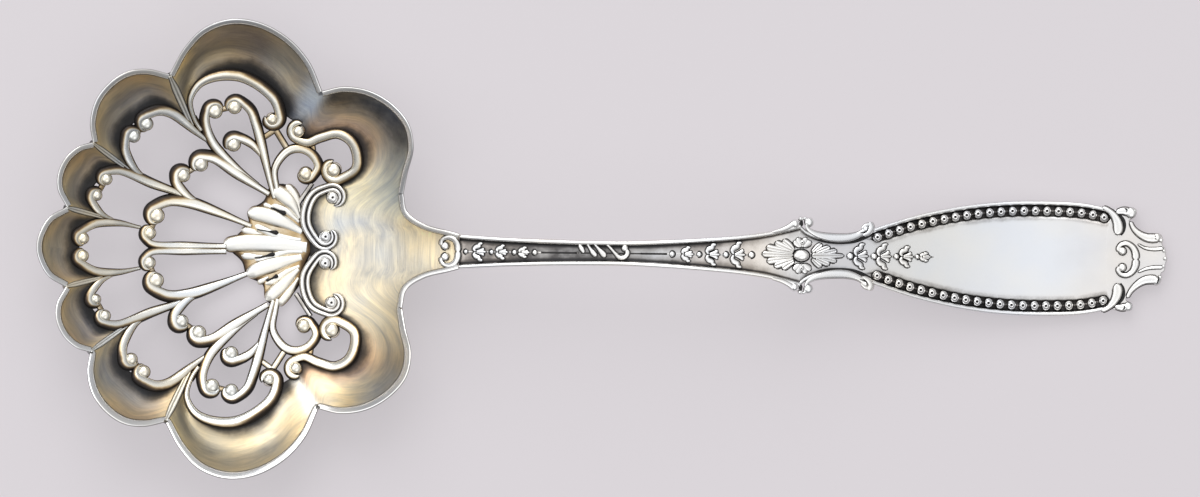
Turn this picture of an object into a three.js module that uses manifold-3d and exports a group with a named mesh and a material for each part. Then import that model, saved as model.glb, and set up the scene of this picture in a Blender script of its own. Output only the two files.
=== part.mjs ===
// A bonbon spoon in silver, with a pierced bowl of nine lobes and a beaded handle.
// Lengths are in millimetres. The bowl points along -X, the handle along +X, and +Z is up.
// The origin is on the flat under the palmette, where the bowl rests. Right is the +Y side.

import * as THREE from "three";
import { mergeVertices } from "three/addons/utils/BufferGeometryUtils.js";
import Module from "manifold-3d";

const wasm = await Module();
wasm.setup();
const { lerp, smoothstep } = THREE.MathUtils;

// Sizes of the bowl
const bowlReach = 30.7; // from the seat to the tip of the front lobe
const bowlHalfWidth = 28.5; // from the axis to the crown of a great lobe
const bowlDepth = 9.5; // from the seat to the rim of the front lobe
const neckReach = 21.5; // from the seat to the start of the stem
const neckHeight = 7.4; // underside of the neck
const neckSpread = 14; // half width over which the neck blends into the dish
const bowlWall = 0.8;
const lobeDish = 0.9; // how much deeper each lobe is pressed than the dish
const rimWidth = 0.55;

// Sizes of the pierced work
const ribWidth = 0.84;
const trunkWidth = 1.05;
const ribHeight = 1.15;
const scrollWidth = 1.0;
const scrollHeight = 1.35;
const eyeRise = 0.15; // how far an eye sits above the band that winds round it
const branchRise = 0.08; // how far a branch sits above the one before it
const leafHeight = 1.4;
const palmetteWall = 0.9;
const reliefLift = 0.2; // relief starts this far above the flat underside of its plate

// Sizes of the stem and the handle
const handleLength = 87.9; // from the neck to the end of the crest
const handleHalfWidth = 7.17;
const archReach = 44; // from the seat to the highest point of the stem
const archHeight = 11.5; // underside of the stem at that point
const restReach = 99; // from the seat to where the handle lies flat
const floorHeight = 1.4; // metal under the sunk field
const lipStand = 0.45; // how far rim and lips stand above the metal beside them
const lipWidth = 0.5;
const beadChannelWidth = 1.3;
const beadChannelSink = 0.35;
const beadRadius = 0.51;
const beadHeight = 0.95;
const ornamentHeight = 0.55;
const bossHeight = 0.88;
const petalRise = 0.015; // how far each petal of the rosette sits above the one before it
const spineWidth = 0.3;
const spineHeight = 0.28;
const scrollLeafWidth = 0.48;
const commaHeight = 0.78;
const fluteStand = 0.22;
const shoulderWidth = 0.8;
const shoulderStand = 0.68; // above the sunk field
const leafBandWidth = 0.85;
const endScrollWidth = 0.6;
const neckScrollWidth = 0.55;

const seam = 0.05; // clearance between neighbours
const overrun = 0.5; // how far a cut runs past the metal above and below
const longestChord = 3.4; // along a curved route

// Counts and proportions
const tableShare = 0.001; // tables of places are in thousandths
const dishPower = 2.2;
const beadCount = 21;
const eyeSides = 6;
const pearlSides = 5;
const stemStations = 13;
const plateStations = 18;
const lobeRowShares = [0, 0.33, 0.7, 1];
const neckStartShare = 0.55; // where the shell starts to thicken towards the stem
const shoulderReachShare = 0.86; // where, beside the neck, the dish would be as deep as at the tip
const bandSectionShares = [[-0.5, 0], [-0.28, 1], [0.28, 1], [0.5, 0]];
const cutSectionShares = [[-0.5, 0], [-0.5, 1], [0.5, 1], [0.5, 0]];
const domeSectionShares = [[0, 0], [1, 0], [0.5, 1], [0, 1]];
const leafBellyShare = 0.6;
const curlSweep = (3 / 4) * Math.PI;
const curlSteps = 3;
const eyeLapShare = 0.15; // of the band's width, by which an eye runs under the band that winds round it
const weldShare = 0.01; // of the seam, within which two points are one
const sharpestTurnShare = 0.5;
const cutDomeShares = [[0, 0], [1, 0], [1, 1], [0, 1]];
// A place on the edge's section: share of the half width, lip widths off it, and share of the lip's height
const edgeSectionShares = [[0.55, 0, 0], [1, 0, 0.42], [1, 0, 0.85], [1, 0.5, 1]];
const shutChannelShare = 0.1;
const channelLeanShare = 0.1;
const beadSectionShares = [[-0.46, 0], [-0.34, 1], [0.34, 1], [0.46, 0]];
const beadWidthShares = [0.45, 1, 1]; // of a bead's width, from one bead's neck towards the next

// Outline of the lobes from the tip of the bowl to the neck: a place on the rim, then the place on the edge
// of the pierced work that it faces. Along, they are thousandths of the reach to the tip or to the neck;
// across, of the half width.
const lobeShares = [
  { steps: 3, fromShare: 0.5, dishShare: 1, places: [
    [-1000, 0, -830, 0], [-996, 40, -835, 35], [-955, 125, -805, 105], [-885, 175, -745, 135]] },
  { steps: 4, fromShare: 0, dishShare: 1, places: [
    [-885, 175, -745, 135], [-915, 250, -790, 180], [-920, 315, -790, 240], [-885, 390, -755, 295],
    [-835, 440, -715, 350], [-780, 455, -635, 340]] },
  { steps: 6, fromShare: 0, dishShare: 1, places: [
    [-780, 455, -635, 340], [-790, 545, -665, 435], [-765, 645, -645, 510], [-705, 725, -585, 570],
    [-635, 770, -525, 600], [-555, 775, -455, 590], [-475, 755, -395, 555]] },
  { steps: 7, fromShare: 0, dishShare: 1.5, places: [
    [-475, 755, -395, 555], [-415, 870, -385, 635], [-335, 955, -355, 710], [-230, 1000, -255, 750],
    [-110, 985, -155, 735], [5, 915, -70, 675], [130, 815, -20, 595], [200, 690, 65, 550]] },
  { steps: 8, fromShare: 0, dishShare: 1, places: [
    [200, 690, 65, 550], [320, 710, 95, 465], [470, 695, 205, 495], [605, 635, 315, 500],
    [705, 550, 400, 440], [735, 445, 405, 355], [700, 335, 335, 295], [680, 250, 230, 270]] },
  { steps: 3, fromShare: 0, dishShare: 0, places: [
    [680, 250, 230, 270], [700, 170, 135, 215], [800, 120, 115, 145], [1000, 77, 145, 65]] },
];

// Bands of the pierced work on the right side, in the same thousandths. A band runs along its route and then
// winds round an eye: the eye's place, its radius in thousandths of the half width, and 1 to turn left, -1 right.
const traceryShares = {
  trefoil_rib: [
    { route: [[-60, 270], [-90, 400], [-125, 550], [-145, 605]], tip: [-212, 618, 37, 1] },
    { route: [[-80, 370], [-140, 455]], tip: [-215, 455, 36, 1] },
    { route: [[-40, 265], [-48, 350], [0, 425], [70, 440], [140, 420], [185, 365]], tip: [110, 332, 40, -1] },
  ],
  forked_rib: [
    { route: [[-70, 240], [-190, 320], [-290, 395]], tip: [-347, 367, 37, 1] },
    { route: [[-115, 280], [-215, 365], [-300, 460], [-332, 550]], tip: [-290, 598, 35, -1] },
    { route: [[-285, 440], [-370, 510], [-460, 590], [-500, 604]], tip: [-546, 552, 37, 1] },
  ],
  long_rib: [
    { route: [[-140, 100], [-280, 160], [-390, 200], [-470, 212]], tip: [-518, 148, 40, 1] },
    { route: [[-325, 185], [-400, 230], [-445, 285]], tip: [-417, 318, 35, -1] },
    { route: [[-345, 190], [-425, 235], [-535, 275], [-650, 330]], tip: [-700, 290, 32, 1] },
    { route: [[-535, 280], [-605, 330], [-655, 410]], tip: [-626, 470, 32, -1] },
  ],
  tip_rib: [
    { route: [[-240, 10], [-400, 10], [-540, 12]], tip: [-552, 66, 32, -1] },
    { route: [[-585, 88], [-660, 112], [-750, 122]], tip: [-797, 62, 36, 1] },
    { route: [[-685, 115], [-740, 145], [-785, 205]], tip: [-762, 226, 28, -1] },
  ],
  lobe_scroll: [
    {
      route: [[-375, 560], [-390, 640], [-355, 710], [-290, 745], [-195, 750], [-110, 710], [-45, 645]],
      tip: [-66, 560, 38, -1],
    },
  ],
  s_scroll: [
    {
      root: [72, 513, 38, -1],
      route: [[115, 462], [190, 487], [290, 505], [370, 470], [410, 400]],
      tip: [318, 346, 46, -1],
    },
  ],
  heel_scroll: [
    {
      root: [245, 222, 42, -1],
      route: [[150, 235], [118, 170], [115, 120]],
      tip: [205, 80, 42, 1],
    },
  ],
};

// Leaves of the palmette, root to tip, with the width of each in thousandths of the half width
const palmetteRootShare = 85;
const palmetteLeafShares = [
  { widthShare: 92, route: [[85, 0], [-60, 0], [-225, 5]] },
  { widthShare: 70, route: [[85, 35], [-80, 65], [-190, 85]] },
  { widthShare: 74, route: [[85, 75], [-40, 120], [-135, 160]] },
  { widthShare: 62, route: [[85, 115], [-10, 165], [-100, 200]] },
  { widthShare: 62, route: [[80, 150], [20, 205], [-45, 255]] },
  { widthShare: 56, route: [[70, 175], [65, 220], [20, 260]] },
];
const palmetteTipShare = 0.5;
const palmetteBulgeShare = 0.35;
const palmettePlateShares = [[-230, 0], [-190, 70], [-135, 140], [-60, 215], [30, 225], [85, 175]];

// Half widths of the stem and of the handle, in thousandths of the handle's length and half width
const stemShares = [[0, 305], [61, 240], [114, 210], [176, 197], [234, 202], [292, 245], [339, 280],
  [400, 335], [438, 395], [466, 475], [480, 520]];
const plateShares = [[480, 500], [490, 430], [503, 365], [530, 310], [552, 335], [569, 415], [582, 475],
  [601, 560], [645, 730], [708, 895], [770, 985], [834, 1000], [880, 970], [908, 895]];
const beadStartShare = 592;
const beadEndShare = 903;
const channelStartShare = 572;
const budShares = [[461, 400], [469, 480], [475, 560]];
const budEyeShare = [474, 560, 60];
const shoulderRootShare = 0.75;
const shoulderShares = [[488, 530], [493, 430], [506, 315], [530, 262], [550, 280], [565, 350], [574, 440]];
const shoulderEyeShares = [[489, 520, 68], [571, 425, 95]];

// Outline of the crest, and the bands that lie on it
const crestShares = [[908, 890], [928, 830], [942, 900], [956, 845], [953, 725], [944, 640], [956, 425],
  [972, 310], [986, 425], [994, 345], [994, 225], [999, 110]];
const crestArmShares = [[944, 790], [940, 650], [950, 450], [964, 300], [980, 300], [988, 350]];
const crestFluteShares = [[[962, 0], [996, 0]], [[962, 100], [994, 125]], [[964, 190], [990, 225]]];
const commaRootShare = 0.5;
const commaLeafShares = [[915, 790], [926, 730], [931, 600], [931, 480], [927, 390]];
const endScrollShares = [[956, -40], [955, 90], [952, 180]];
const endEyeShare = [934, 168, 80, 1];

// The struck ornaments of the stem: round pearls, husks of three leaves, a scroll and a rosette
const neckScrollShares = [[-2, -25], [-4, 90]];
const neckEyeShare = [-18, 125, 45, 1];
const neckPearlShares = [10, 46, 78, 107];
const neckHuskShares = [[30, 120], [61, 95], [91, 65]];
const stemPearlShares = [300, 337, 375, 411];
const stemHuskShares = [[323, 115], [358, 165], [394, 195]];
const handlePearlShares = [551, 585, 616, 646];
const handleHuskShares = [[568, 190], [601, 185], [633, 160]];
const neckRunShares = [8, 169];
const stemRunShares = [255, 414];
const handleRunShares = [547, 668];
const pearlRadiusShare = 50;
const huskRootShare = 0.7;
const huskRootSpreadShare = 0.06;
const huskTipShare = 0.6;
const huskWidthShare = 0.5;
const scrollLeafBulgeShare = 0.4;
const scrollLeafShares = [[[172, 85], [182, -60]], [[186, 90], [197, -80]], [[198, 80], [210, -90]],
  [[208, 80], [220, -55], [231, -60], [238, 60]]];
const scrollSpineShares = [[172, 0], [240, 0]];
const rosettePetalShares = [[[474, 0], [424, 0]], [[474, 60], [434, 135]], [[475, 100], [446, 215]],
  [[477, 90], [461, 255]], [[479, 90], [479, 290]], [[484, 90], [491, 240]], [[488, 60], [514, 185]],
  [[488, 30], [526, 100]], [[488, 0], [541, 0]]];
const rosettePetalWidthShare = 190;
const rosetteBossShare = [481, 0, 135];

// Finishes, from the photograph
const silver = { color: 0xd9d6cf, roughness: 0.24, metalness: 1 };
const agedSilver = { color: 0x8f8c86, roughness: 0.36, metalness: 1 };
const gilt = { color: 0xb59a66, roughness: 0.34, metalness: 1 };

// Places and heights

function onBowl([along, across], side = 1) {
  const reach = along < 0 ? bowlReach : neckReach;
  return [along * tableShare * reach, side * across * tableShare * bowlHalfWidth];
}

function onHandle([along, across], side = 1) {
  return [neckReach + along * tableShare * handleLength, side * across * tableShare * handleHalfWidth];
}

function bowlUnder(x, y) {
  const rise = bowlDepth * (Math.abs(y) / bowlHalfWidth) ** dishPower;
  if (x < 0) return bowlDepth * Math.hypot(x / bowlReach, y / bowlHalfWidth) ** dishPower;
  const t = x / neckReach;
  const slope = handleSlopeAtNeck() * neckReach;
  const heel = neckHeight * t * t * (3 - 2 * t) + slope * (t ** 3 - t ** 2);
  const shoulderReach = neckReach * shoulderReachShare;
  const shoulder = bowlDepth * Math.hypot(x / shoulderReach, y / bowlHalfWidth) ** dishPower;
  return lerp(heel + rise, shoulder, smoothstep(Math.abs(y), 0, neckSpread));
}

function handleSlopeAtNeck() {
  return ((archHeight - neckHeight) * Math.PI) / 2 / (archReach - neckReach);
}

function handleUnder(x) {
  if (x < archReach) {
    const t = (x - neckReach) / (archReach - neckReach);
    return neckHeight + (archHeight - neckHeight) * Math.sin((t * Math.PI) / 2);
  }
  return archHeight * (1 - smoothstep(x, archReach, restReach));
}

function shellThickness(x) {
  return lerp(bowlWall, floorHeight, smoothstep(x, neckReach * neckStartShare, neckReach));
}

// Solids

function solidOf(vertices, triangles) {
  const mesh = new wasm.Mesh({
    numProp: 3,
    vertProperties: new Float32Array(vertices.flat()),
    triVerts: new Uint32Array(triangles.flat()),
  });
  const solid = new wasm.Manifold(mesh);
  if (solid.volume() > 0) return solid;
  return solidOf(vertices, triangles.map(([a, b, c]) => [a, c, b]));
}

// Every point of a geometry is raised by the height of what it lies on
function solidFromGeometry(geometry, under = () => 0) {
  const bare = geometry.clone();
  bare.deleteAttribute("normal");
  bare.deleteAttribute("uv");
  const merged = mergeVertices(bare, seam * weldShare);
  const place = merged.attributes.position;
  const vertices = Array.from({ length: place.count }, (_, i) => {
    const x = place.getX(i);
    const y = place.getY(i);
    return [x, y, place.getZ(i) + under(x, y)];
  });
  const index = merged.index.array;
  const triangles = [];
  for (let i = 0; i < index.length; i += 3) {
    const triangle = [index[i], index[i + 1], index[i + 2]];
    if (new Set(triangle).size === 3) triangles.push(triangle);
  }
  return solidOf(vertices, triangles);
}

// Joins sections of equal count, each a closed line of points; a ring of sections needs no caps
function loft(sections, closed, capTriangles) {
  const count = sections[0].length;
  const triangles = [];
  const last = closed ? sections.length : sections.length - 1;
  for (let i = 0; i < last; i++) {
    const here = i * count;
    const next = ((i + 1) % sections.length) * count;
    for (let j = 0; j < count; j++) {
      const k = (j + 1) % count;
      triangles.push([here + j, here + k, next + k], [here + j, next + k, next + j]);
    }
  }
  if (!closed) {
    const end = (sections.length - 1) * count;
    capTriangles.forEach(([a, b, c]) => triangles.push([a, c, b], [end + a, end + b, end + c]));
  }
  return solidOf(sections.flat(), triangles);
}

// Triangles that fill an outline, turned the way the outline runs
function capOf(outline) {
  const line = outline.map(([u, v]) => new THREE.Vector2(u, v));
  const { area, triangulateShape } = THREE.ShapeUtils;
  return triangulateShape(line, []).map(([a, b, c]) => (
    area([line[a], line[b], line[c]]) * area(line) > 0 ? [a, b, c] : [a, c, b]));
}

function curveThrough(places) {
  return new THREE.CatmullRomCurve3(places.map(([x, y]) => new THREE.Vector3(x, y, 0)), false, "centripetal");
}

const raised = (under, rise) => (x, y) => under(x, y) + rise;

// A bevelled band on a route in plan. Its width runs from root to tip, and grow makes a fatter one for cuts.
function band(route, { rootWidth, tipWidth = rootWidth, height, under, grow = 0, bulgeShare = 0 }) {
  const curve = curveThrough(route);
  const samples = Math.max(route.length - 1, Math.ceil(curve.getLength() / longestChord));
  const outline = grow ? cutSectionShares : bandSectionShares;
  const past = grow ? overrun : 0;
  const sections = [];
  for (let i = 0; i <= samples; i++) {
    const t = i / samples;
    const place = curve.getPoint(t);
    const along = curve.getTangent(t);
    const swell = 1 + bulgeShare * Math.sin(Math.PI * t);
    const width = lerp(rootWidth, tipWidth, t) * swell + 2 * grow;
    sections.push(outline.map(([across, up]) => {
      const x = place.x - along.y * across * width;
      const y = place.y + along.x * across * width;
      return [x, y, under(x, y) - past + up * (height + 2 * past)];
    }));
  }
  return loft(sections, false, capOf(outline));
}

function dome([x, y], radius, height, under, sides, grow = 0) {
  const past = grow ? overrun : 0;
  const profile = (grow ? cutDomeShares : domeSectionShares).map(
    ([out, up]) => new THREE.Vector2(out * (radius + grow), up * (height + 2 * past)),
  );
  const geometry = new THREE.LatheGeometry(profile, sides);
  geometry.rotateX(Math.PI / 2);
  geometry.translate(x, y, -past);
  return solidFromGeometry(geometry, under);
}

// An eye is a round button: its place, then its radius in thousandths of the half width
function bowlEye([along, across, radiusShare, turn], side) {
  return { place: onBowl([along, across], side), radius: radiusShare * tableShare * bowlHalfWidth, turn: turn * side };
}

function handleEye([along, across, radiusShare, turn = 0], side) {
  const radius = radiusShare * tableShare * handleHalfWidth;
  return { place: onHandle([along, across], side), radius, turn: turn * side };
}

// Leads a route on round an eye, from where its line touches the circle that it winds on
function windRound(route, { place, radius, turn }, width) {
  const last = route[route.length - 1];
  const [dx, dy] = [last[0] - place[0], last[1] - place[1]];
  const wound = radius * Math.cos(Math.PI / eyeSides) + width * (0.5 - eyeLapShare);
  const touch = Math.atan2(dy, dx) + turn * Math.acos(Math.min(1, wound / Math.hypot(dx, dy)));
  const arc = Array.from({ length: curlSteps + 1 }, (_, i) => {
    const angle = touch + turn * curlSweep * (i / curlSteps);
    return [place[0] + wound * Math.cos(angle), place[1] + wound * Math.sin(angle)];
  });
  return [...route, ...arc];
}

// A band that winds round an eye at its tip, and at its root where it has one there, with the eyes filled in
function curl(route, { root, tip }, style) {
  const { rootWidth, tipWidth = rootWidth, height, under, grow } = style;
  let line = windRound(route, tip, tipWidth);
  if (root) line = windRound(line.reverse(), root, rootWidth).reverse();
  const eyes = [tip, root].filter(Boolean).map(({ place, radius }) => (
    dome(place, radius, height, raised(under, eyeRise), eyeSides, grow)));
  return join([band(line, style), ...eyes]);
}

// A pointed leaf, widest past its middle, where its ridges meet
function leaf(root, tip, width, height, under) {
  const [dx, dy] = [tip[0] - root[0], tip[1] - root[1]];
  const length = Math.hypot(dx, dy);
  const across = [(-dy / length) * (width / 2), (dx / length) * (width / 2)];
  const belly = [root[0] + dx * leafBellyShare, root[1] + dy * leafBellyShare];
  const plan = [root, [belly[0] - across[0], belly[1] - across[1]], tip,
    [belly[0] + across[0], belly[1] + across[1]]];
  const vertices = plan.map(([x, y]) => [x, y, under(x, y)]);
  vertices.push([...belly, under(...belly) + height]);
  return solidOf(vertices, [[0, 2, 1], [0, 3, 2], [0, 1, 4], [1, 2, 4], [2, 3, 4], [3, 0, 4]]);
}

function join(solids) {
  return withoutCrumbs(solids.reduce((sum, solid) => sum.add(solid)));
}

// A tight curl can pinch off a crumb of no size, which goes
function withoutCrumbs(solid) {
  const bodies = solid.decompose().filter((body) => body.volume() > seam ** 3);
  return bodies.length > 1 ? solid : bodies[0];
}

// What a cut leaves beside the main body is a crumb, and goes
function mainBody(solid) {
  return solid.decompose().reduce((best, body) => (body.volume() > best.volume() ? body : best));
}

function cutBy(solid, cutters) {
  return mainBody(cutters.reduce((rest, cutter) => rest.subtract(cutter), solid));
}

// The bowl

function lobeColumns() {
  const columns = [];
  for (const { steps, fromShare, dishShare, places } of lobeShares) {
    const rim = curveThrough(places.map(([x, y]) => onBowl([x, y])));
    const edge = curveThrough(places.map(([, , x, y]) => onBowl([x, y])));
    for (let i = columns.length ? 1 : 0; i <= steps; i++) {
      const t = i / steps;
      const rimPlace = rim.getPoint(t);
      const edgePlace = edge.getPoint(t);
      columns.push({
        rim: [rimPlace.x, rimPlace.y],
        edge: [edgePlace.x, edgePlace.y],
        dish: lobeDish * dishShare * Math.sin(Math.PI * lerp(fromShare, 1, t)),
      });
    }
  }
  columns[columns.length - 1].rim[0] = neckReach;
  return columns;
}

const mirrored = ([x, y]) => [x, -y];

// The rim line runs from the left of the neck round the tip to the right of the neck
function wholeRim(columns) {
  const right = columns.map((column) => column.rim);
  return [...right.slice(1).reverse().map(mirrored), ...right];
}

function insetLine(line, distance) {
  return line.map(([x, y], i) => {
    if (i === 0 || i === line.length - 1) return [x, y - Math.sign(y) * distance];
    const before = line[i - 1];
    const after = line[i + 1];
    const first = new THREE.Vector2(x - before[0], y - before[1]).normalize();
    const second = new THREE.Vector2(after[0] - x, after[1] - y).normalize();
    const middle = first.clone().add(second).normalize();
    const reach = distance / Math.max(sharpestTurnShare, middle.dot(first));
    return [x + middle.y * reach, y - middle.x * reach];
  });
}

function bowlShell(columns) {
  const inset = insetLine(wholeRim(columns), rimWidth + seam);
  const start = columns.length - 1;
  const half = columns.map((column, i) => ({ ...column, rim: inset[start + i] }));
  const neckMiddle = { rim: [neckReach, 0], edge: onBowl([palmetteRootShare, 0]), dish: 0 };
  neckMiddle.edge[0] += seam;
  const left = half.slice(1).reverse().map((column) => (
    { rim: mirrored(column.rim), edge: mirrored(column.edge), dish: column.dish }));
  const ring = [...half, neckMiddle, ...left];
  const sections = ring.map(({ rim, edge, dish }) => {
    const rows = lobeRowShares.map((share) => {
      const x = lerp(edge[0], rim[0], share);
      const y = lerp(edge[1], rim[1], share);
      return [x, y, bowlUnder(x, y) - dish * Math.sin(Math.PI * share)];
    });
    const top = rows.map(([x, y, z]) => [x, y, z + shellThickness(x)]).reverse();
    return [...rows, ...top];
  });
  return loft(sections, true);
}

function bowlRim(columns) {
  const outer = wholeRim(columns);
  const inner = insetLine(outer, rimWidth);
  const sections = outer.map(([x, y], i) => {
    const base = bowlUnder(x, y);
    const wall = shellThickness(x);
    return [[x, y, base], [x, y, base + wall], [...inner[i], base + wall + lipStand], [...inner[i], base]];
  });
  return loft(sections, false, [[0, 1, 2], [0, 2, 3]]);
}

function tracery(name, side, grow = 0) {
  const isScroll = name.endsWith("scroll");
  const style = {
    rootWidth: isScroll ? scrollWidth : trunkWidth,
    tipWidth: isScroll ? scrollWidth : ribWidth,
    height: isScroll ? scrollHeight : ribHeight,
    grow,
  };
  return join(traceryShares[name].map(({ route, root, tip }, i) => curl(
    route.map((place) => onBowl(place, side)),
    { root: root && bowlEye(root, side), tip: bowlEye(tip, side) },
    { ...style, under: raised(bowlUnder, i * branchRise) },
  )));
}

// The palmette has a flat underside, which is the bowl's seat
function palmette(grow = 0) {
  const plateTop = () => reliefLift;
  const outline = [...palmettePlateShares, ...palmettePlateShares.slice(1).reverse().map(mirrored)];
  const shape = new THREE.Shape(outline.map((place) => new THREE.Vector2(...onBowl(place))));
  const plate = new THREE.ExtrudeGeometry(shape, { depth: palmetteWall, bevelEnabled: false });
  const pieces = [solidFromGeometry(plate)];
  for (const { widthShare, route } of palmetteLeafShares) {
    const width = widthShare * tableShare * bowlHalfWidth;
    for (const side of [1, -1]) {
      pieces.push(band(route.map((place) => onBowl(place, side)), {
        rootWidth: width,
        tipWidth: width * palmetteTipShare,
        height: leafHeight,
        under: plateTop,
        grow,
        bulgeShare: palmetteBulgeShare,
      }));
    }
  }
  return join(pieces);
}

// The stem and the handle

const lipTop = floorHeight + lipStand;
const floorTop = (x) => handleUnder(x) + floorHeight + seam;
const ornamentBase = (x) => floorTop(x) + branchRise; // pearls and leaves ride a little up on their line
const channelFloor = (x) => floorTop(x) - beadChannelSink;

function widthCurve(table) {
  return curveThrough(table.map((place) => onHandle(place)));
}

function halfWidthAt(curve, x) {
  let low = 0;
  let high = 1;
  while (high - low > tableShare) {
    const middle = (low + high) / 2;
    if (curve.getPoint(middle).x < x) low = middle;
    else high = middle;
  }
  return curve.getPoint(low).y;
}

// What lies on the axis is made once, and the rest on both sides
function sidesOf(distance) {
  return distance === 0 ? [1] : [1, -1];
}

function symmetric(halfSection) {
  return [...halfSection, ...halfSection.slice().reverse().map(([y, z]) => [-y, z])];
}

// The side of the metal, from its rounded underside to the crown of the lip
function edgeSection(halfWidth) {
  return edgeSectionShares.map(([out, off, up]) => [halfWidth * out - lipWidth * off, lipTop * up]);
}

function stemSection(halfWidth) {
  return symmetric([...edgeSection(halfWidth), [halfWidth - lipWidth, floorHeight]]);
}

// The bead channel opens out of nothing as the handle widens: opened goes from 0 to 1
function plateSection(halfWidth, opened) {
  const lipFoot = halfWidth - lipWidth;
  const channelWidth = beadChannelWidth * lerp(shutChannelShare, 1, opened);
  const channelDepth = beadChannelSink * opened;
  return symmetric([
    ...edgeSection(halfWidth),
    [lipFoot, floorHeight - channelDepth],
    [lipFoot - channelWidth, floorHeight - channelDepth],
    [lipFoot - channelWidth - beadChannelWidth * channelLeanShare, floorHeight],
  ]);
}

function barFrom(table, stationCount, sectionAt) {
  const curve = widthCurve(table);
  const sections = [];
  let outline;
  for (let i = 0; i <= stationCount; i++) {
    const place = curve.getPoint(i / stationCount);
    const x = Math.max(place.x, neckReach + seam);
    outline = sectionAt(place.y, x);
    sections.push(outline.map(([y, z]) => [x, y, handleUnder(x) + z]));
  }
  return loft(sections, false, capOf(outline));
}

function stem() {
  const buds = [1, -1].flatMap((side) => {
    const { place, radius } = handleEye(budEyeShare, side);
    const height = lipTop + eyeRise;
    return [
      band(budShares.map((spot) => onHandle(spot, side)), { rootWidth: lipWidth, height, under: handleUnder }),
      dome(place, radius, height, raised(handleUnder, eyeRise), eyeSides),
    ];
  });
  return join([barFrom(stemShares, stemStations, stemSection), ...buds]);
}

function handlePlate() {
  const start = onHandle([plateShares[0][0], 0])[0];
  const channelStart = onHandle([channelStartShare, 0])[0];
  const beadStart = onHandle([beadStartShare, 0])[0];
  const sectionAt = (halfWidth, x) => plateSection(halfWidth, smoothstep(x, channelStart, beadStart));
  return barFrom(plateShares, plateStations, sectionAt).subtract(slab(start + seam));
}

// A block that takes away what lies towards the bowl from a station
function slab(x) {
  const geometry = new THREE.BoxGeometry(handleLength, handleLength, handleLength);
  geometry.translate(x - handleLength / 2, 0, 0);
  return solidFromGeometry(geometry);
}

function shoulderScroll(side, grow = 0) {
  const top = floorHeight + shoulderStand;
  const sweep = band(shoulderShares.map((place) => onHandle(place, side)), {
    rootWidth: shoulderWidth * shoulderRootShare,
    tipWidth: shoulderWidth,
    height: top,
    under: handleUnder,
    grow,
  });
  const eyes = shoulderEyeShares.map((share) => handleEye(share, side)).map(({ place, radius }) => (
    dome(place, radius, top, raised(handleUnder, eyeRise), eyeSides, grow)));
  return join([sweep, ...eyes]);
}

function beadRow(side) {
  const width = widthCurve(plateShares);
  const from = onHandle([beadStartShare, 0])[0];
  const to = onHandle([beadEndShare, 0])[0];
  const route = Array.from({ length: beadCount }, (_, i) => {
    const x = lerp(from, to, i / (beadCount - 1));
    return [x, side * (halfWidthAt(width, x) - lipWidth - beadChannelWidth / 2)];
  });
  return beadedWire(curveThrough(route));
}

// One wire, pressed into beads that hang together at thin necks
function beadedWire(curve) {
  const steps = beadWidthShares.length;
  const sections = [];
  for (let i = 0; i <= beadCount * steps; i++) {
    const place = curve.getPoint(i / (beadCount * steps));
    const along = curve.getTangent(i / (beadCount * steps));
    const share = beadWidthShares[i % steps];
    const base = channelFloor(place.x);
    sections.push(beadSectionShares.map(([across, up]) => [
      place.x - along.y * across * share * 2 * beadRadius,
      place.y + along.x * across * share * 2 * beadRadius,
      base + up * share * beadHeight,
    ]));
  }
  return loft(sections, false, capOf(beadSectionShares));
}

function crest() {
  const right = crestShares.map((place) => onHandle(place));
  const outline = [...right, ...right.slice().reverse().map(mirrored)];
  outline[0][0] += seam;
  outline[outline.length - 1][0] += seam;
  const shape = new THREE.Shape(outline.map((place) => new THREE.Vector2(...place)));
  const plate = new THREE.ExtrudeGeometry(shape, { depth: floorHeight, bevelEnabled: false });
  const relief = { rootWidth: leafBandWidth, height: lipTop - reliefLift, under: () => reliefLift };
  const arms = [1, -1].map((side) => band(crestArmShares.map((place) => onHandle(place, side)), relief));
  const flutes = [1, -1].flatMap((side) => crestFluteShares.map((route) => band(
    route.map((place) => onHandle(place, side)),
    { ...relief, height: floorHeight + fluteStand - reliefLift })));
  return join([solidFromGeometry(plate), ...arms, ...flutes]);
}

function commaLeaf(side) {
  return band(commaLeafShares.map((place) => onHandle(place, side)), {
    rootWidth: leafBandWidth * commaRootShare,
    tipWidth: leafBandWidth,
    height: commaHeight,
    under: floorTop,
  });
}

// Two curls that meet on the axis
function doubleCurl(routeShares, eyeShare, style) {
  return join([1, -1].map((side) => curl(
    routeShares.map((place) => onHandle(place, side)), { tip: handleEye(eyeShare, side) }, style)));
}

function endScroll() {
  const style = { rootWidth: endScrollWidth, height: ornamentHeight, under: floorTop };
  return doubleCurl(endScrollShares, endEyeShare, style);
}

function neckScroll() {
  const under = (x, y) => bowlUnder(x, y) + shellThickness(x) + seam;
  return doubleCurl(neckScrollShares, neckEyeShare, { rootWidth: neckScrollWidth, height: ornamentHeight, under });
}

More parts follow.
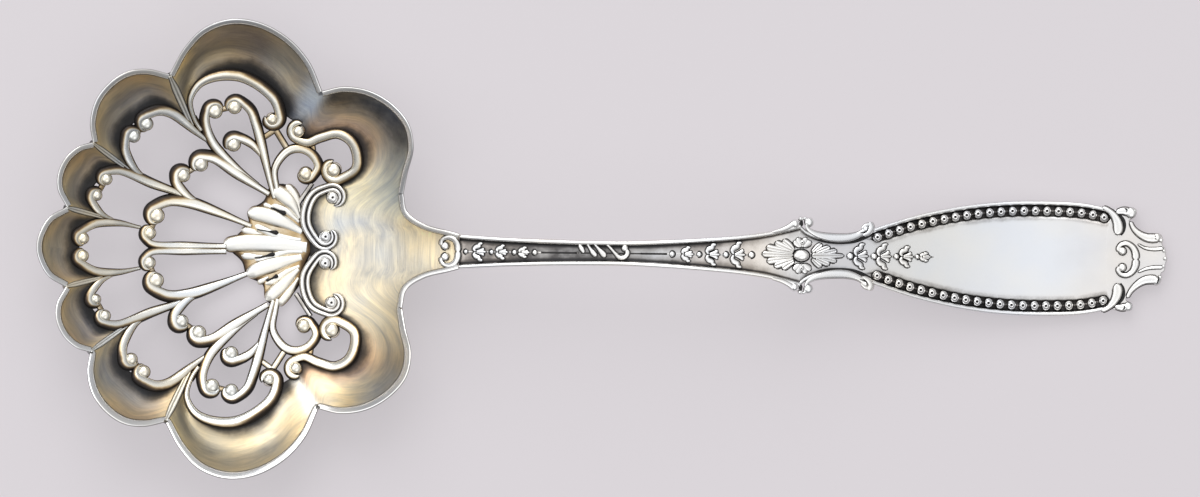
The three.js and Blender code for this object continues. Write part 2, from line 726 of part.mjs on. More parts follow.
// Pearls and husks strung on a fine raised line
function huskRun(lineShares, pearlPlaces, huskPlaces) {
  const pearl = pearlRadiusShare * tableShare * handleHalfWidth;
  const line = band(lineShares.map((along) => onHandle([along, 0])), {
    rootWidth: spineWidth,
    height: spineHeight,
    under: floorTop,
  });
  const pearls = pearlPlaces.map((along) => dome(
    onHandle([along, 0]), pearl, ornamentHeight, ornamentBase, pearlSides));
  const husks = huskPlaces.flatMap(([along, spread]) => {
    const [x, reach] = onHandle([along, spread]);
    const root = [x - reach * huskRootShare, 0];
    const rootOf = (side) => [root[0], side * reach * huskRootSpreadShare];
    return [
      leaf(root, [x + reach * huskTipShare, 0], reach * huskWidthShare, ornamentHeight, ornamentBase),
      leaf(rootOf(1), [x, reach], reach * huskWidthShare, ornamentHeight, ornamentBase),
      leaf(rootOf(-1), [x, -reach], reach * huskWidthShare, ornamentHeight, ornamentBase),
    ];
  });
  return join([line, ...pearls, ...husks]);
}

function stemLeafScroll() {
  const leaves = scrollLeafShares.map((route) => band(route.map((place) => onHandle(place)), {
    rootWidth: scrollLeafWidth,
    tipWidth: spineWidth,
    height: ornamentHeight,
    under: floorTop,
    bulgeShare: scrollLeafBulgeShare,
  }));
  const spine = band(scrollSpineShares.map((place) => onHandle(place)), {
    rootWidth: spineWidth,
    height: spineHeight,
    under: floorTop,
  });
  return join([spine, ...leaves]);
}

function rosette() {
  const width = rosettePetalWidthShare * tableShare * handleHalfWidth;
  const petals = rosettePetalShares.flatMap(([root, tip], i) => sidesOf(root[1] + tip[1]).map((side) => (
    leaf(onHandle(root, side), onHandle(tip, side), width, ornamentHeight, raised(floorTop, i * petalRise)))));
  const { place, radius } = handleEye(rosetteBossShare, 1);
  const boss = dome(place, radius, bossHeight, floorTop, eyeSides);
  return join([boss, ...petals]);
}

// The assembly

const spoon = new THREE.Group();

function addNode(name, solid, finish) {
  const { numProp, vertProperties, triVerts } = solid.getMesh();
  const geometry = new THREE.BufferGeometry();
  geometry.setAttribute("position", new THREE.BufferAttribute(new Float32Array(vertProperties), numProp));
  geometry.setIndex(new THREE.BufferAttribute(new Uint32Array(triVerts), 1));
  const flat = geometry.toNonIndexed();
  flat.computeVertexNormals();
  const mesh = new THREE.Mesh(flat, new THREE.MeshStandardMaterial(finish));
  mesh.name = name;
  spoon.add(mesh);
}

const sides = [["right", 1], ["left", -1]];
const cutters = [palmette(seam)];
addNode("palmette", palmette(), silver);

const tipRib = (grow) => join(sides.map(([, side]) => tracery("tip_rib", side, grow)));
for (const name of ["trefoil_rib", "forked_rib", "long_rib"]) {
  for (const [label, side] of sides) {
    addNode(`${name}_${label}`, cutBy(tracery(name, side), cutters), silver);
    cutters.push(tracery(name, side, seam));
  }
}
addNode("tip_rib", cutBy(tipRib(0), cutters), silver);
cutters.push(tipRib(seam));
for (const name of ["lobe_scroll", "s_scroll", "heel_scroll"]) {
  for (const [label, side] of sides) {
    addNode(`${name}_${label}`, cutBy(tracery(name, side), cutters), silver);
    cutters.push(tracery(name, side, seam));
  }
}
const columns = lobeColumns();
addNode("bowl_shell", cutBy(bowlShell(columns), cutters), gilt);
addNode("bowl_rim", bowlRim(columns), silver);
addNode("neck_scroll", neckScroll(), silver);

addNode("stem", stem(), silver);
addNode("neck_husk_run", huskRun(neckRunShares, neckPearlShares, neckHuskShares), silver);
addNode("stem_leaf_scroll", stemLeafScroll(), silver);
addNode("stem_husk_run", huskRun(stemRunShares, stemPearlShares, stemHuskShares), silver);
addNode("rosette", rosette(), silver);
addNode("handle_husk_run", huskRun(handleRunShares, handlePearlShares, handleHuskShares), silver);

const shoulderCutters = sides.map(([, side]) => shoulderScroll(side, seam));
addNode("handle_plate", cutBy(handlePlate(), shoulderCutters), agedSilver);
for (const [label, side] of sides) {
  addNode(`shoulder_scroll_${label}`, shoulderScroll(side), silver);
  addNode(`bead_row_${label}`, beadRow(side), silver);
  addNode(`comma_leaf_${label}`, commaLeaf(side), silver);
}
addNode("end_scroll", endScroll(), silver);
addNode("crest", crest(), silver);

export default spoon;
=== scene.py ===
"""Looks of the pierced bonbon spoon: every solid is replaced by a finer piece in the same place.

Places are in pixels of the photograph, along the spoon's axis and off it (plus is the right side), and become
millimetres by PX. Heights are in millimetres, from the same curves as the solids.
"""
import math

import bpy
import numpy as np
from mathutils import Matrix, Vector


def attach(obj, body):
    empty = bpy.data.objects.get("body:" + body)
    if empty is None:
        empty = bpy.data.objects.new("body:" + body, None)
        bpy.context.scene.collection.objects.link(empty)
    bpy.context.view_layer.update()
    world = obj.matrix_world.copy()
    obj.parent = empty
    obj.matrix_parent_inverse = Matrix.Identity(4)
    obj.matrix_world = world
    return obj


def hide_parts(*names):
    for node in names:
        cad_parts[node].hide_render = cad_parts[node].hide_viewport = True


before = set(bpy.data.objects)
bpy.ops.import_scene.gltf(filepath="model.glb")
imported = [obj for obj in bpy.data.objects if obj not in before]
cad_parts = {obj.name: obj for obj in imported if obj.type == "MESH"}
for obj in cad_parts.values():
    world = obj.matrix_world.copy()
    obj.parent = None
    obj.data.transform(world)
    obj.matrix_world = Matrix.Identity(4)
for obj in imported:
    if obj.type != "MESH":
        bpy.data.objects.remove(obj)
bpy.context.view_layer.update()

# A pixel of the photograph in millimetres, the column of the seat, the row of the axis there and its slope
PX, SEAT, AXIS, ROLL = 0.12379, 285.0, 249.5, 0.0117
PHOTO_WIDTH, PHOTO_MIDDLE = 1200, (600, 248.5)
MM = 0.001

# The named sizes of the part's source
BOWL_REACH, HALF_WIDTH, DEPTH, NECK = 30.7, 28.5, 9.5, 21.5
NECK_HEIGHT, SPREAD, POWER, SHOULDER = 7.4, 14.0, 2.2, 21.5 * 0.86
ARCH_REACH, ARCH_HEIGHT, REST_REACH = 44.0, 11.5, 99.0
WALL, FLOOR, LIP_STAND = 0.8, 1.4, 0.45
LIP_TOP = FLOOR + LIP_STAND

# How far the stem's channel is sunk and the handle's field raised
SUNK, RAISED = 0.13, 0.035
STRAND_HEIGHT, SCROLL_HEIGHT, LEAF_HEIGHT = 1.3, 1.5, 0.5
# How far a strand's ball stands above it, how high a scroll's one is, and how far bands lean with the bowl
BALL_STAND, SCROLL_BALL, TILT = 0.26, 1.7, 0.3
RIM_WIDTH, RIM_SWELL = 0.72, 0.24
BEADS, BEAD_RADIUS, BEAD_HEIGHT, BEAD_SINK = 21, 0.58, 1.06, 0.36
THREAD_WIDTH, THREAD_HEIGHT = 0.3, 0.4
# The width of the handle's lip, and how far the beads' middles lie inside it
PLATE_LIP, BEAD_OFF = 0.62, 0.66
SIDES = ((1, "right"), (-1, "left"))
WHITE = (1, 1, 1)


# Curves and heights

def smooth(value, low, high):
    t = np.clip((np.asarray(value, float) - low) / (high - low), 0, 1)
    return t * t * (3 - 2 * t)


def mix(a, b, t):
    return a + (b - a) * t


def bowl_under(x, y):
    x, y = np.asarray(x, float), np.abs(np.asarray(y, float))
    rise = DEPTH * (y / HALF_WIDTH) ** POWER
    slope = (ARCH_HEIGHT - NECK_HEIGHT) * math.pi / 2 / (ARCH_REACH - NECK) * NECK
    t = np.maximum(x, 0) / NECK
    heel = NECK_HEIGHT * t * t * (3 - 2 * t) + slope * (t ** 3 - t ** 2)
    shoulder = DEPTH * np.hypot(np.maximum(x, 0) / SHOULDER, y / HALF_WIDTH) ** POWER
    front = DEPTH * np.hypot(np.minimum(x, 0) / BOWL_REACH, y / HALF_WIDTH) ** POWER
    return np.where(x < 0, front, mix(heel + rise, shoulder, smooth(y, 0, SPREAD)))


def handle_under(x, y=0):
    x = np.asarray(x, float)
    t = (x - NECK) / (ARCH_REACH - NECK)
    arch = NECK_HEIGHT + (ARCH_HEIGHT - NECK_HEIGHT) * np.sin(t * math.pi / 2)
    return np.where(x < ARCH_REACH, arch, ARCH_HEIGHT * (1 - smooth(x, ARCH_REACH, REST_REACH)))


def thickness(x):
    return mix(WALL, FLOOR, smooth(x, NECK * 0.55, NECK))


def handle_floor(x, y=0):
    """What carries the ornaments: the channel of the stem, a little sunk, then the field of the handle."""
    px = np.asarray(x, float) / PX + SEAT
    sunk = SUNK * smooth(px, 455, 500) * (1 - smooth(px, 755, 796))
    return handle_under(x) + FLOOR - sunk + RAISED * smooth(px, 760, 796)


def dish_top(x, y):
    return bowl_under(x, y) + thickness(x)


def bead_floor(x, y=0):
    return handle_under(x) + FLOOR - BEAD_SINK


def at(px, v):
    return ((px - SEAT) * PX, v * PX)


def seen(px, py):
    """A pixel of the photograph, with the roll of the picture taken out."""
    return at(px, AXIS + ROLL * (px - SEAT) - py)


def on_bowl(place, side=1):
    """Thousandths of the bowl's reach and half width."""
    reach = BOWL_REACH if place[0] < 0 else NECK
    return (place[0] * reach / 1000, side * place[1] * HALF_WIDTH / 1000)


def flip(route, side):
    return [(px, v * side) for px, v in route]


def curve(points, per_span):
    """A smooth line through the points; each span has the same count of steps."""
    p = np.asarray(points, float)
    p = np.vstack([2 * p[0] - p[1], p, 2 * p[-1] - p[-2]])
    out = []
    for i in range(1, len(p) - 2):
        knots = np.concatenate([[0], np.cumsum(
            np.maximum(1e-4, np.linalg.norm(np.diff(p[i - 1:i + 3], axis=0), axis=1)) ** 0.5)])
        t = np.linspace(knots[1], knots[2], per_span, endpoint=False)[:, None]
        level = [p[i - 1 + k] + (p[i + k] - p[i - 1 + k]) * (t - knots[k]) / (knots[k + 1] - knots[k])
                 for k in range(3)]
        level = [level[k] + (level[k + 1] - level[k]) * (t - knots[k]) / (knots[k + 2] - knots[k])
                 for k in range(2)]
        out.append(level[0] + (level[1] - level[0]) * (t - knots[1]) / (knots[2] - knots[1]))
    return np.vstack(out + [p[-2:-1]])


def reaches(line):
    """How far along a line each of its points is."""
    return np.concatenate([[0], np.cumsum(np.linalg.norm(np.diff(line, axis=0), axis=1))])


def even(line, step):
    """The same line with even steps of about this length."""
    line = np.array(line, float)
    reach = reaches(line)
    marks = np.linspace(0, reach[-1], max(3, int(round(reach[-1] / step)) + 1))
    return np.column_stack([np.interp(marks, reach, line[:, k]) for k in range(line.shape[1])])


def shares(line):
    return np.linspace(0, 1, len(line))


def smooth_run(points, per_span, step):
    """A smooth line with even steps, and how far along it each point is, from 0 to 1."""
    line = even(curve(points, per_span), step)
    return line, shares(line)


def along(line):
    direction = np.gradient(line, axis=0)
    return direction / np.maximum(1e-9, np.linalg.norm(direction, axis=1))[:, None]


def closing(room, reach, least=0.02):
    """Draws widths in to a rounded end where little room is left."""
    return np.sqrt(np.clip(room / reach, least, 1))


def round_ends(line, width, first=True):
    """The same widths, drawn in to a half circle at the ends."""
    reach = reaches(line)
    out = np.array(width, float)
    for room, end in ((reach, width[0]), (reach[-1] - reach, width[-1]))[0 if first else 1:]:
        out = out * np.sqrt(1 - 0.97 * (1 - np.clip(room / (0.5 * end), 0, 1)) ** 2)
    return out


def close_ends(line, share=0.02):
    """The line with two more points close to each end, which keep a band's shading even up to its ends."""
    first, last = (line[1] - line[0]) * share, (line[-1] - line[-2]) * share
    return np.vstack([line[:1], line[:1] + first, line[:1] + 2 * first, line[1:-1],
                      line[-1:] - 2 * last, line[-1:] - last, line[-1:]])


def wind(route, eye, wound, turn, sweep_angle, tightening=0.0):
    """Leads a route on round an eye."""
    dx, dy = route[-1][0] - eye[0], route[-1][1] - eye[1]
    touch = math.atan2(dy, dx) + turn * math.acos(min(1, wound / math.hypot(dx, dy)))
    arc = []
    for share in np.linspace(0, 1, 9):
        angle, r = touch + turn * sweep_angle * share, wound * (1 - tightening * share)
        arc.append((eye[0] + r * math.cos(angle), eye[1] + r * math.sin(angle)))
    return list(route) + arc


# Pieces

class Piece:
    """Closed skins in millimetres. Each vertex holds its patina and painted shade, 0 to 1, and a tint."""

    def __init__(self, name, nodes):
        self.name, self.nodes, self.count = name, nodes, 0
        self.places, self.faces, self.soot, self.tints, self.grain = [], [], [], [], []

    def add(self, places, faces, soot, tint=WHITE, grain=(0, 0)):
        places = np.asarray(places, float).reshape(-1, 3)
        n = len(places)
        self.faces += [tuple(int(k) + self.count for k in face) for face in faces]
        self.places.append(places)
        self.soot.append(np.broadcast_to(np.asarray(soot, float).reshape(-1), (n,)))
        self.tints.append(np.broadcast_to(np.asarray(tint, float), (n, 3)))
        self.grain.append(np.broadcast_to(np.asarray(grain, float), (n, 2)))
        self.count += n

    def make(self, material):
        mesh = bpy.data.meshes.new(self.name)
        mesh.from_pydata((np.vstack(self.places) * MM).tolist(), [], self.faces)
        mesh.validate()
        mesh.attributes.new("soot", "FLOAT", "POINT").data.foreach_set("value", np.concatenate(self.soot))
        tint = np.hstack([np.vstack(self.tints), np.ones((self.count, 1))])
        mesh.color_attributes.new("tint", "FLOAT_COLOR", "POINT").data.foreach_set("color", tint.ravel())
        layer = mesh.uv_layers.new(name="grain")
        loops = np.zeros(len(mesh.loops), np.int32)
        mesh.loops.foreach_get("vertex_index", loops)
        layer.data.foreach_set("uv", np.vstack(self.grain)[loops].ravel())
        mesh.polygons.foreach_set("use_smooth", [True] * len(mesh.polygons))
        mesh.materials.append(material)
        piece = bpy.data.objects.new(self.name, mesh)
        bpy.context.scene.collection.objects.link(piece)
        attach(piece, "root")
        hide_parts(*self.nodes)


def ring_faces(rows, columns, closed_rows=False):
    """Quads over rows of closed sections."""
    faces = []
    for i in range(rows if closed_rows else rows - 1):
        here, there = i * columns, ((i + 1) % rows) * columns
        for j in range(columns):
            k = (j + 1) % columns
            faces.append((here + j, here + k, there + k, there + j))
    return faces


def skin(piece, sections, soot, tint=WHITE):
    """Closes a row of sections (rows, columns, 3) with a fan at each end."""
    rows, columns = sections.shape[:2]
    faces = ring_faces(rows, columns)
    first, last = rows * columns, rows * columns + 1
    for j in range(columns):
        k = (j + 1) % columns
        faces += [(first, k, j), (last, first - columns + j, first - columns + k)]
    places = np.vstack([sections.reshape(-1, 3), sections[0].mean(axis=0), sections[-1].mean(axis=0)])
    soot = np.broadcast_to(soot, (rows, columns))
    tint = np.asarray(tint, float)
    if tint.ndim > 1:
        tint = np.vstack([tint, tint[:2]])
    piece.add(places, faces, np.concatenate([soot.ravel(), [soot[0].mean(), soot[-1].mean()]]), tint)


def mirrored_section(half):
    """A section's points, from its left half: across, from -1 to 1, up, from 0 to 1, and patina with painted shade.
    """
    return half + [(-u, v, s) for u, v, s in half[::-1] if u]


def sooted(profile, soot):
    return [(u, v, soot) for u, v, _ in profile]


# Dark values on the flanks and feet are painted shade along the foot of each band, with some patina.
STRAND = mirrored_section([
    (-0.8, 0, 1), (-0.93, 0.22, 1), (-1, 0.46, 1), (-0.97, 0.64, 1), (-0.87, 0.79, 0.9), (-0.74, 0.89, 0.45),
    (-0.56, 0.95, 0.06), (-0.28, 0.99, 0), (0, 1, 0),
])
RELIEF = mirrored_section([
    (-1, 0, 1), (-1, 0.4, 1), (-0.95, 0.64, 0.8), (-0.84, 0.84, 0.25), (-0.6, 0.95, 0), (-0.3, 0.99, 0), (0, 1, 0),
])
VEINED = mirrored_section([
    (-1, 0, 1), (-1, 0.42, 1), (-0.92, 0.74, 0.6), (-0.72, 0.95, 0.05), (-0.4, 1, 0), (-0.16, 0.9, 0.25),
    (0, 0.84, 0.6),
])
# A low dark sheet of painted shade: the shadow outline at a stroke's foot, and pools in hollows
SHADE_FOOT = mirrored_section([(-1, 0, 0.5), (-0.97, 0.8, 0.55), (-0.84, 1, 0.9), (0, 1, 1)])
GROOVED = [
    (-0.82, 0, 1), (-0.95, 0.3, 1), (-1, 0.6, 1), (-0.93, 0.8, 0.7), (-0.78, 0.95, 0.06), (-0.5, 1, 0),
    (-0.22, 0.96, 0.1), (-0.06, 0.8, 0.9), (0.08, 0.78, 1), (0.2, 0.92, 0.3), (0.42, 0.99, 0), (0.68, 0.96, 0.04),
    (0.87, 0.8, 0.6), (1, 0.6, 1), (0.95, 0.3, 1), (0.82, 0, 1),
]
WIRE = mirrored_section([
    (-0.9, 0, 0.12), (-1, 0.3, 0.15), (-1, 0.66, 0.3), (-0.97, 0.84, 0.8), (-0.88, 0.93, 0.45),
    (-0.74, 0.985, 0.02), (-0.4, 1, 0), (0, 1, 0),
])
TALL = mirrored_section([
    (-1, 0, 0.1), (-1, 0.55, 0.12), (-0.99, 0.8, 0.7), (-0.92, 0.9, 0.5), (-0.74, 0.97, 0.05), (-0.4, 0.995, 0),
    (0, 1, 0),
])
FOLD = mirrored_section([
    (-0.9, 0, 1), (-1, 0.6, 1), (-0.94, 0.84, 0.85), (-0.7, 0.95, 0.25), (-0.42, 1, 0), (-0.12, 0.93, 0.35),
    (0, 0.9, 0.6),
])
BLADE = mirrored_section([
    (-0.92, 0, 1), (-1, 0.42, 1), (-0.97, 0.62, 0.85), (-0.9, 0.76, 0.4), (-0.76, 0.87, 0.1), (-0.56, 0.94, 0),
    (-0.3, 0.985, 0), (0, 1, 0),
])


def sweep(piece, line, width, height, base, profile=STRAND, lean=0.0, darkness=1.0, tint=WHITE, tilt=0.0):
    """A band on a line in plan. Width and height may change along it. Lean slopes its outer side and paints it
    darker as shade, and tilt leans the band with the surface that it stands on, with its crown kept over the line."""
    width, height, lean = (np.broadcast_to(np.asarray(k, float), (len(line),))[:, None]
                           for k in (width, height, lean))
    direction = along(line)
    u, v, s = (np.array([p[k] for p in profile])[None, :] for k in range(3))
    shift = u - 0.36 * lean * np.maximum(0, 1 - u * u) * (v > 0.5)
    x = line[:, 0][:, None] - direction[:, 1][:, None] * shift * width / 2
    y = line[:, 1][:, None] + direction[:, 0][:, None] * shift * width / 2
    if tilt:
        e, drop = 0.02, tilt * (1 - v) * height
        slope_x = (base(x + e, y) - base(x - e, y)) / (2 * e)
        slope_y = (base(x, y + e) - base(x, y - e)) / (2 * e)
        x, y = x + slope_x * drop, y + slope_y * drop
    # The profile's patina and painted shade, scaled, and the painted shade of a leaning outer side
    outer_shade = np.abs(lean) * smooth(u * np.sign(lean), 0.1, 0.85)
    skin(piece, np.dstack([x, y, base(x, y) + v * height]), np.maximum(s * darkness, outer_shade * 0.85), tint)


def turned(piece, place, profile, base, sides, tint=WHITE, squash=1.0):
    """A round or oval form from a profile of (radius, height, patina and painted shade) from its crown down."""
    angle = np.linspace(0, 2 * math.pi, sides, endpoint=False)[None, :]
    r, h, s = (np.array([p[k] for p in profile])[:, None] for k in range(3))
    x, y = place[0] + r * np.cos(angle), place[1] + squash * r * np.sin(angle)
    skin(piece, np.dstack([x, y, base + h + 0 * x]), s + 0 * x, tint)


def ball(piece, place, radius, base, height, reflection_pit=0.0, sides=22, low=0.6, dark=1.0, tint=WHITE, skirt=0.0, squash=1.0,
         lift=0.0):
    """A ball let into what carries it. Its side is painted dark as shade, a skirt paints a ring of shadow round its
    foot, and the pit in its crown, where it has one, holds a dark dot: a painted reflection of the camera.
    """
    profile = [(radius * math.sin(k), height * (low + (1 - low) * math.cos(k)), dark * smooth(k, 1.12, 1.5))
               for k in np.linspace(0.0, math.pi / 2, 10)]
    profile += [(radius * 0.97, height * low * 0.6, dark)]
    # The skirt: a dark ring on the ground round the ball's foot, a painted shadow
    if skirt:
        profile += [(radius * 1.02, 0.07, dark), (radius + skirt * 0.7, 0.06, dark),
                    (radius + skirt, 0.05, dark * 0.6), (radius + skirt, -0.1, dark)]
    else:
        profile += [(radius * 0.85, 0, dark)]
    profile[0] = (0.01, height, 0)
    if reflection_pit:
        crown = height * (low + (1 - low) * math.sqrt(max(0, 1 - (reflection_pit / radius) ** 2)))
        profile = [(0.01, crown - reflection_pit * 0.8, 1), (reflection_pit * 0.6, crown - reflection_pit * 0.7, 1), (reflection_pit, crown - reflection_pit * 0.1, 0.6),
                   (reflection_pit * 1.15, crown, 0.05)] + [p for p in profile if p[0] > reflection_pit * 1.25]
    turned(piece, place, profile, float(base(*place)) + lift, sides, tint, squash)


# Materials

class Tree:
    """A node tree, with short calls for the nodes that repeat."""

    def __init__(self, owner):
        owner.use_nodes = True
        self.tree, self.nodes = owner.node_tree, owner.node_tree.nodes

    def link(self, made, inputs):
        """Links an input that is given a socket, and sets any other."""
        for key, value in dict(inputs).items():
            if isinstance(value, bpy.types.NodeSocket):
                self.tree.links.new(value, made.inputs[key])
            else:
                made.inputs[key].default_value = value
        return made

    def node(self, kind, inputs=(), **settings):
        made = self.nodes.new("ShaderNode" + kind)
        for key, value in settings.items():
            setattr(made, key, value)
        return self.link(made, inputs)

    def math(self, operation, *values):
        return self.node("Math", enumerate(values), operation=operation).outputs[0]

    def product(self, a, b):
        return self.node("Mix", {0: 1.0, 6: a, 7: b}, data_type="RGBA", blend_type="MULTIPLY").outputs[2]

    def ramp(self, source, stops):
        """Colours at their places, as (place, colour)."""
        made = self.node("ValToRGB", {"Fac": source})
        elements = made.color_ramp.elements
        for element, (position, colour) in zip(tuple(elements), (stops[0], stops[-1])):
            element.position, element.color = position, (*colour, 1)
        for position, colour in stops[1:-1]:
            elements.new(position).color = (*colour, 1)
        return made.outputs["Color"]


def metal(name, base, soot_colours, roughness, soot_roughness, tone, bump, streak=0.0, scratch=0.15):
    """Metal that is bright on its heights, and browned and blackened by patina and painted shade where its vertices
    say so.
    """
    material = bpy.data.materials.new(name)
    tree = Tree(material)
    place = tree.node("TexCoord").outputs["Object"]
    soot, tint, grain = (tree.node("Attribute", attribute_name=key).outputs[output]
                         for key, output in (("soot", "Fac"), ("tint", "Color"), ("grain", "Vector")))

    def noise(vector, *values):
        inputs = zip(("Scale", "Detail", "Roughness", "Distortion"), values)
        return tree.node("TexNoise", {"Vector": vector, **dict(inputs)}).outputs["Fac"]

    def centred(source, size):
        return tree.math("MULTIPLY", tree.math("SUBTRACT", source, 0.5), size)

    def stretched(*scale):
        return tree.node("Mapping", {"Vector": grain, "Scale": scale}).outputs[0]

    cloud, fine, large = noise(place, 420.0, 4.0, 0.6), noise(place, 2600.0, 3.0, 0.6), noise(place, 110.0, 2.0, 0.5)

    # Patina and painted shade are broken up where they fade, and whole where they are full or absent
    edge = tree.math("MULTIPLY", soot, tree.math("SUBTRACT", 1.0, soot))
    broken = tree.math("ADD", soot, tree.math("MULTIPLY", edge, centred(cloud, 2.4)))
    speck = tree.math("ADD", broken, centred(fine, 0.1))

    cool, warm = (1 - tone * 2.2, 1 - tone * 1.5, 1 - tone * 0.5), (1, 1 - tone * 0.35, 1 - tone * 1.5)
    colour = tree.product(tree.product(tint, (*base, 1)), tree.ramp(large, [(0.35, cool), (0.65, warm)]))
    height = centred(fine, 1.0)
    if streak:
        lines = noise(stretched(0.22, 7.0, 1.0), 1.0, 5.0, 0.65)
        patches = noise(stretched(0.16, 0.9, 1.0), 1.0, 3.0, 0.6, 0.6)
        both = tree.math("ADD", centred(lines, 0.8), centred(patches, 1.5))
        # The bright streaks are warm and the dark ones cool, because blue changes least
        channels = {key: tree.math("MULTIPLY_ADD", both, streak * share, 1.0)
                    for key, share in (("Red", 1.06), ("Green", 0.94), ("Blue", 0.62))}
        colour = tree.product(colour, tree.node("CombineColor", channels).outputs[0])
        height = tree.math("ADD", height, centred(lines, 2.0))

    rough = tree.math("MULTIPLY_ADD", speck, soot_roughness - roughness, roughness)
    shine = {"Value": speck, "From Min": 0.45, "From Max": 1.0, "To Min": 1.0, "To Max": 0.35}
    tree.link(tree.nodes["Principled BSDF"], {
        "Base Color": tree.product(colour, tree.ramp(speck, [(0.0, WHITE)] + soot_colours)),
        "Roughness": tree.node("Math", enumerate((rough, centred(cloud, scratch))), use_clamp=True).outputs[0],
        "Metallic": tree.node("MapRange", shine).outputs[0],
        "Normal": tree.node("Bump", {"Height": height, "Strength": bump, "Distance": 0.00004}).outputs[0]})
    return material


# Colours of patina and painted shade, from none to full
BROWN_PATINA_AND_SHADE = [(0.12, (0.99, 0.96, 0.9)), (0.34, (0.6, 0.47, 0.3)), (0.55, (0.16, 0.11, 0.07)),
           (0.8, (0.03, 0.022, 0.018)), (1.0, (0.012, 0.01, 0.011))]
GREY_PATINA_AND_SHADE = [(0.15, (0.97, 0.96, 0.95)), (0.4, (0.5, 0.48, 0.46)), (0.62, (0.14, 0.13, 0.125)),
          (0.82, (0.035, 0.033, 0.034)), (1.0, (0.012, 0.012, 0.013))]
BLUE_PATINA_AND_SHADE = [(0.2, (0.8, 0.78, 0.77)), (0.42, (0.42, 0.41, 0.42)), (0.66, (0.15, 0.155, 0.175)),
         (0.85, (0.05, 0.052, 0.064)), (1.0, (0.018, 0.018, 0.024))]

pierced = metal("pierced_silver", (0.95, 0.925, 0.875), BROWN_PATINA_AND_SHADE, 0.24, 0.5, 0.08, 0.12)
leafed = metal("palmette_silver", (0.96, 0.935, 0.88), BROWN_PATINA_AND_SHADE, 0.42, 0.6, 0.05, 0.18)
struck = metal("struck_silver", (0.94, 0.935, 0.93), GREY_PATINA_AND_SHADE, 0.22, 0.5, 0.03, 0.12)
beaded = metal("bead_silver", (0.95, 0.94, 0.935), GREY_PATINA_AND_SHADE, 0.09, 0.5, 0.03, 0.04, scratch=0.04)
edged = metal("rim_silver", (0.95, 0.94, 0.93), GREY_PATINA_AND_SHADE, 0.2, 0.45, 0.03, 0.06)
plate = metal("handle_silver", (0.87, 0.87, 0.875), GREY_PATINA_AND_SHADE, 0.33, 0.55, 0.03, 0.08, streak=0.07)
dished = metal("parcel_gilt", (1.0, 1.0, 1.0), BLUE_PATINA_AND_SHADE, 0.38, 0.55, 0.14, 0.3, streak=0.72, scratch=0.25)


# Pierced work, in thousandths of the bowl's reach and half width

# Each strand: its route, its eye and the way it winds, then its width at the root and in full, in pixels
STRANDS = {
    "trefoil_rib": [
        ([(-48, 222), (-62, 275), (-90, 400), (-125, 550), (-145, 605)], (-212, 618, 6.6, 1), 4.6, 10.2),
        ([(-80, 370), (-140, 455)], (-215, 455, 6.6, 1), 2.2, 9.6),
        ([
            (-30, 215), (-40, 268), (-48, 350), (0, 425), (70, 440), (140, 420), (185, 365),
        ], (110, 332, 6.6, -1), 5, 9.2),
    ],
    "forked_rib": [
        ([(-70, 240), (-190, 320), (-290, 395)], (-347, 367, 6.8, 1), 5.4, 11.6),
        ([(-115, 280), (-215, 365), (-300, 460), (-332, 550)], (-290, 598, 6.8, -1), 3.6, 10.2),
        ([(-285, 440), (-370, 510), (-460, 585), (-515, 598)], (-565, 539, 6.2, 1), 3.4, 11),
    ],
    "long_rib": [
        ([(-140, 100), (-280, 160), (-390, 200), (-472, 208)], (-522, 141, 7.2, 1), 4.6, 11.8),
        ([(-325, 185), (-400, 230), (-445, 285)], (-417, 318, 6.4, -1), 2.8, 10.4),
        ([(-345, 190), (-425, 235), (-535, 278), (-670, 338)], (-725, 297, 5.6, 1), 4, 10.2),
        ([(-535, 280), (-605, 335), (-650, 425)], (-616, 485, 6, -1), 3, 9.8),
    ],
    "tip_rib": [
        ([(-240, 11), (-400, 12), (-538, 14)], (-550, 65, 6, -1), 5, 8.2),
        ([(-585, 88), (-670, 106), (-765, 104)], (-816, 38, 5.6, 1), 3.2, 9.2),
        ([(-685, 115), (-740, 145), (-785, 205)], (-762, 226, 5, -1), 2.6, 8.6),
    ],
}
# Pairs of neighbouring eyes that a small bar joins
BRIDGES = [
    ((-212, 618), (-290, 598)), ((-347, 367), (-417, 318)), ((-565, 539), (-616, 485)), ((-725, 297), (-762, 226)),
    ((-522, 141), (-550, 65)),
]


def strand(piece, side, route, eye, root, full, lift):
    """A strand that starts fine, grows and winds round the ball that ends it."""
    def base(x, y):
        return bowl_under(x, y) + lift

    centre = on_bowl(eye[:2], side)
    radius, turn = eye[2] * 1.12 * PX, eye[3] * side
    hook = full * 0.8 * PX
    route = wind([on_bowl(p, side) for p in route], centre, radius + hook * 0.16, turn, 2.9, 0.18)
    line, t = smooth_run(route, 14, 0.14)
    width = mix(root * 1.2 * PX, full * 1.07 * PX, smooth(t, 0, 0.5)) * mix(1, 0.56, smooth(t, 0.72, 1))
    rise = mix(0.78, 1.0, smooth(t, 0, 0.35)) * mix(1, 0.86, smooth(t, 0.8, 1))
    lean = -turn * smooth(t, 0.3, 0.75) * (1 - 0.6 * smooth(t, 0.88, 1))
    sweep(piece, line, width * closing(1 - t, 0.06), STRAND_HEIGHT * rise, base, STRAND, lean, tilt=TILT)
    ball(piece, centre, radius, base, STRAND_HEIGHT + BALL_STAND, tint=(0.94, 0.91, 0.85))


def bridge(piece, a, b, width, height, soot):
    """A small bar between two neighbours."""
    bars = [(u, v, max(s, soot)) for u, v, s in STRAND]
    sweep(piece, even([a, b], 0.12), width, height, lambda x, y: bowl_under(x, y) + 0.05, bars, tilt=TILT)


def side_bar(piece, side, a, b, *sizes):
    bridge(piece, *(at(px, v) for px, v in flip((a, b), side)), *sizes)


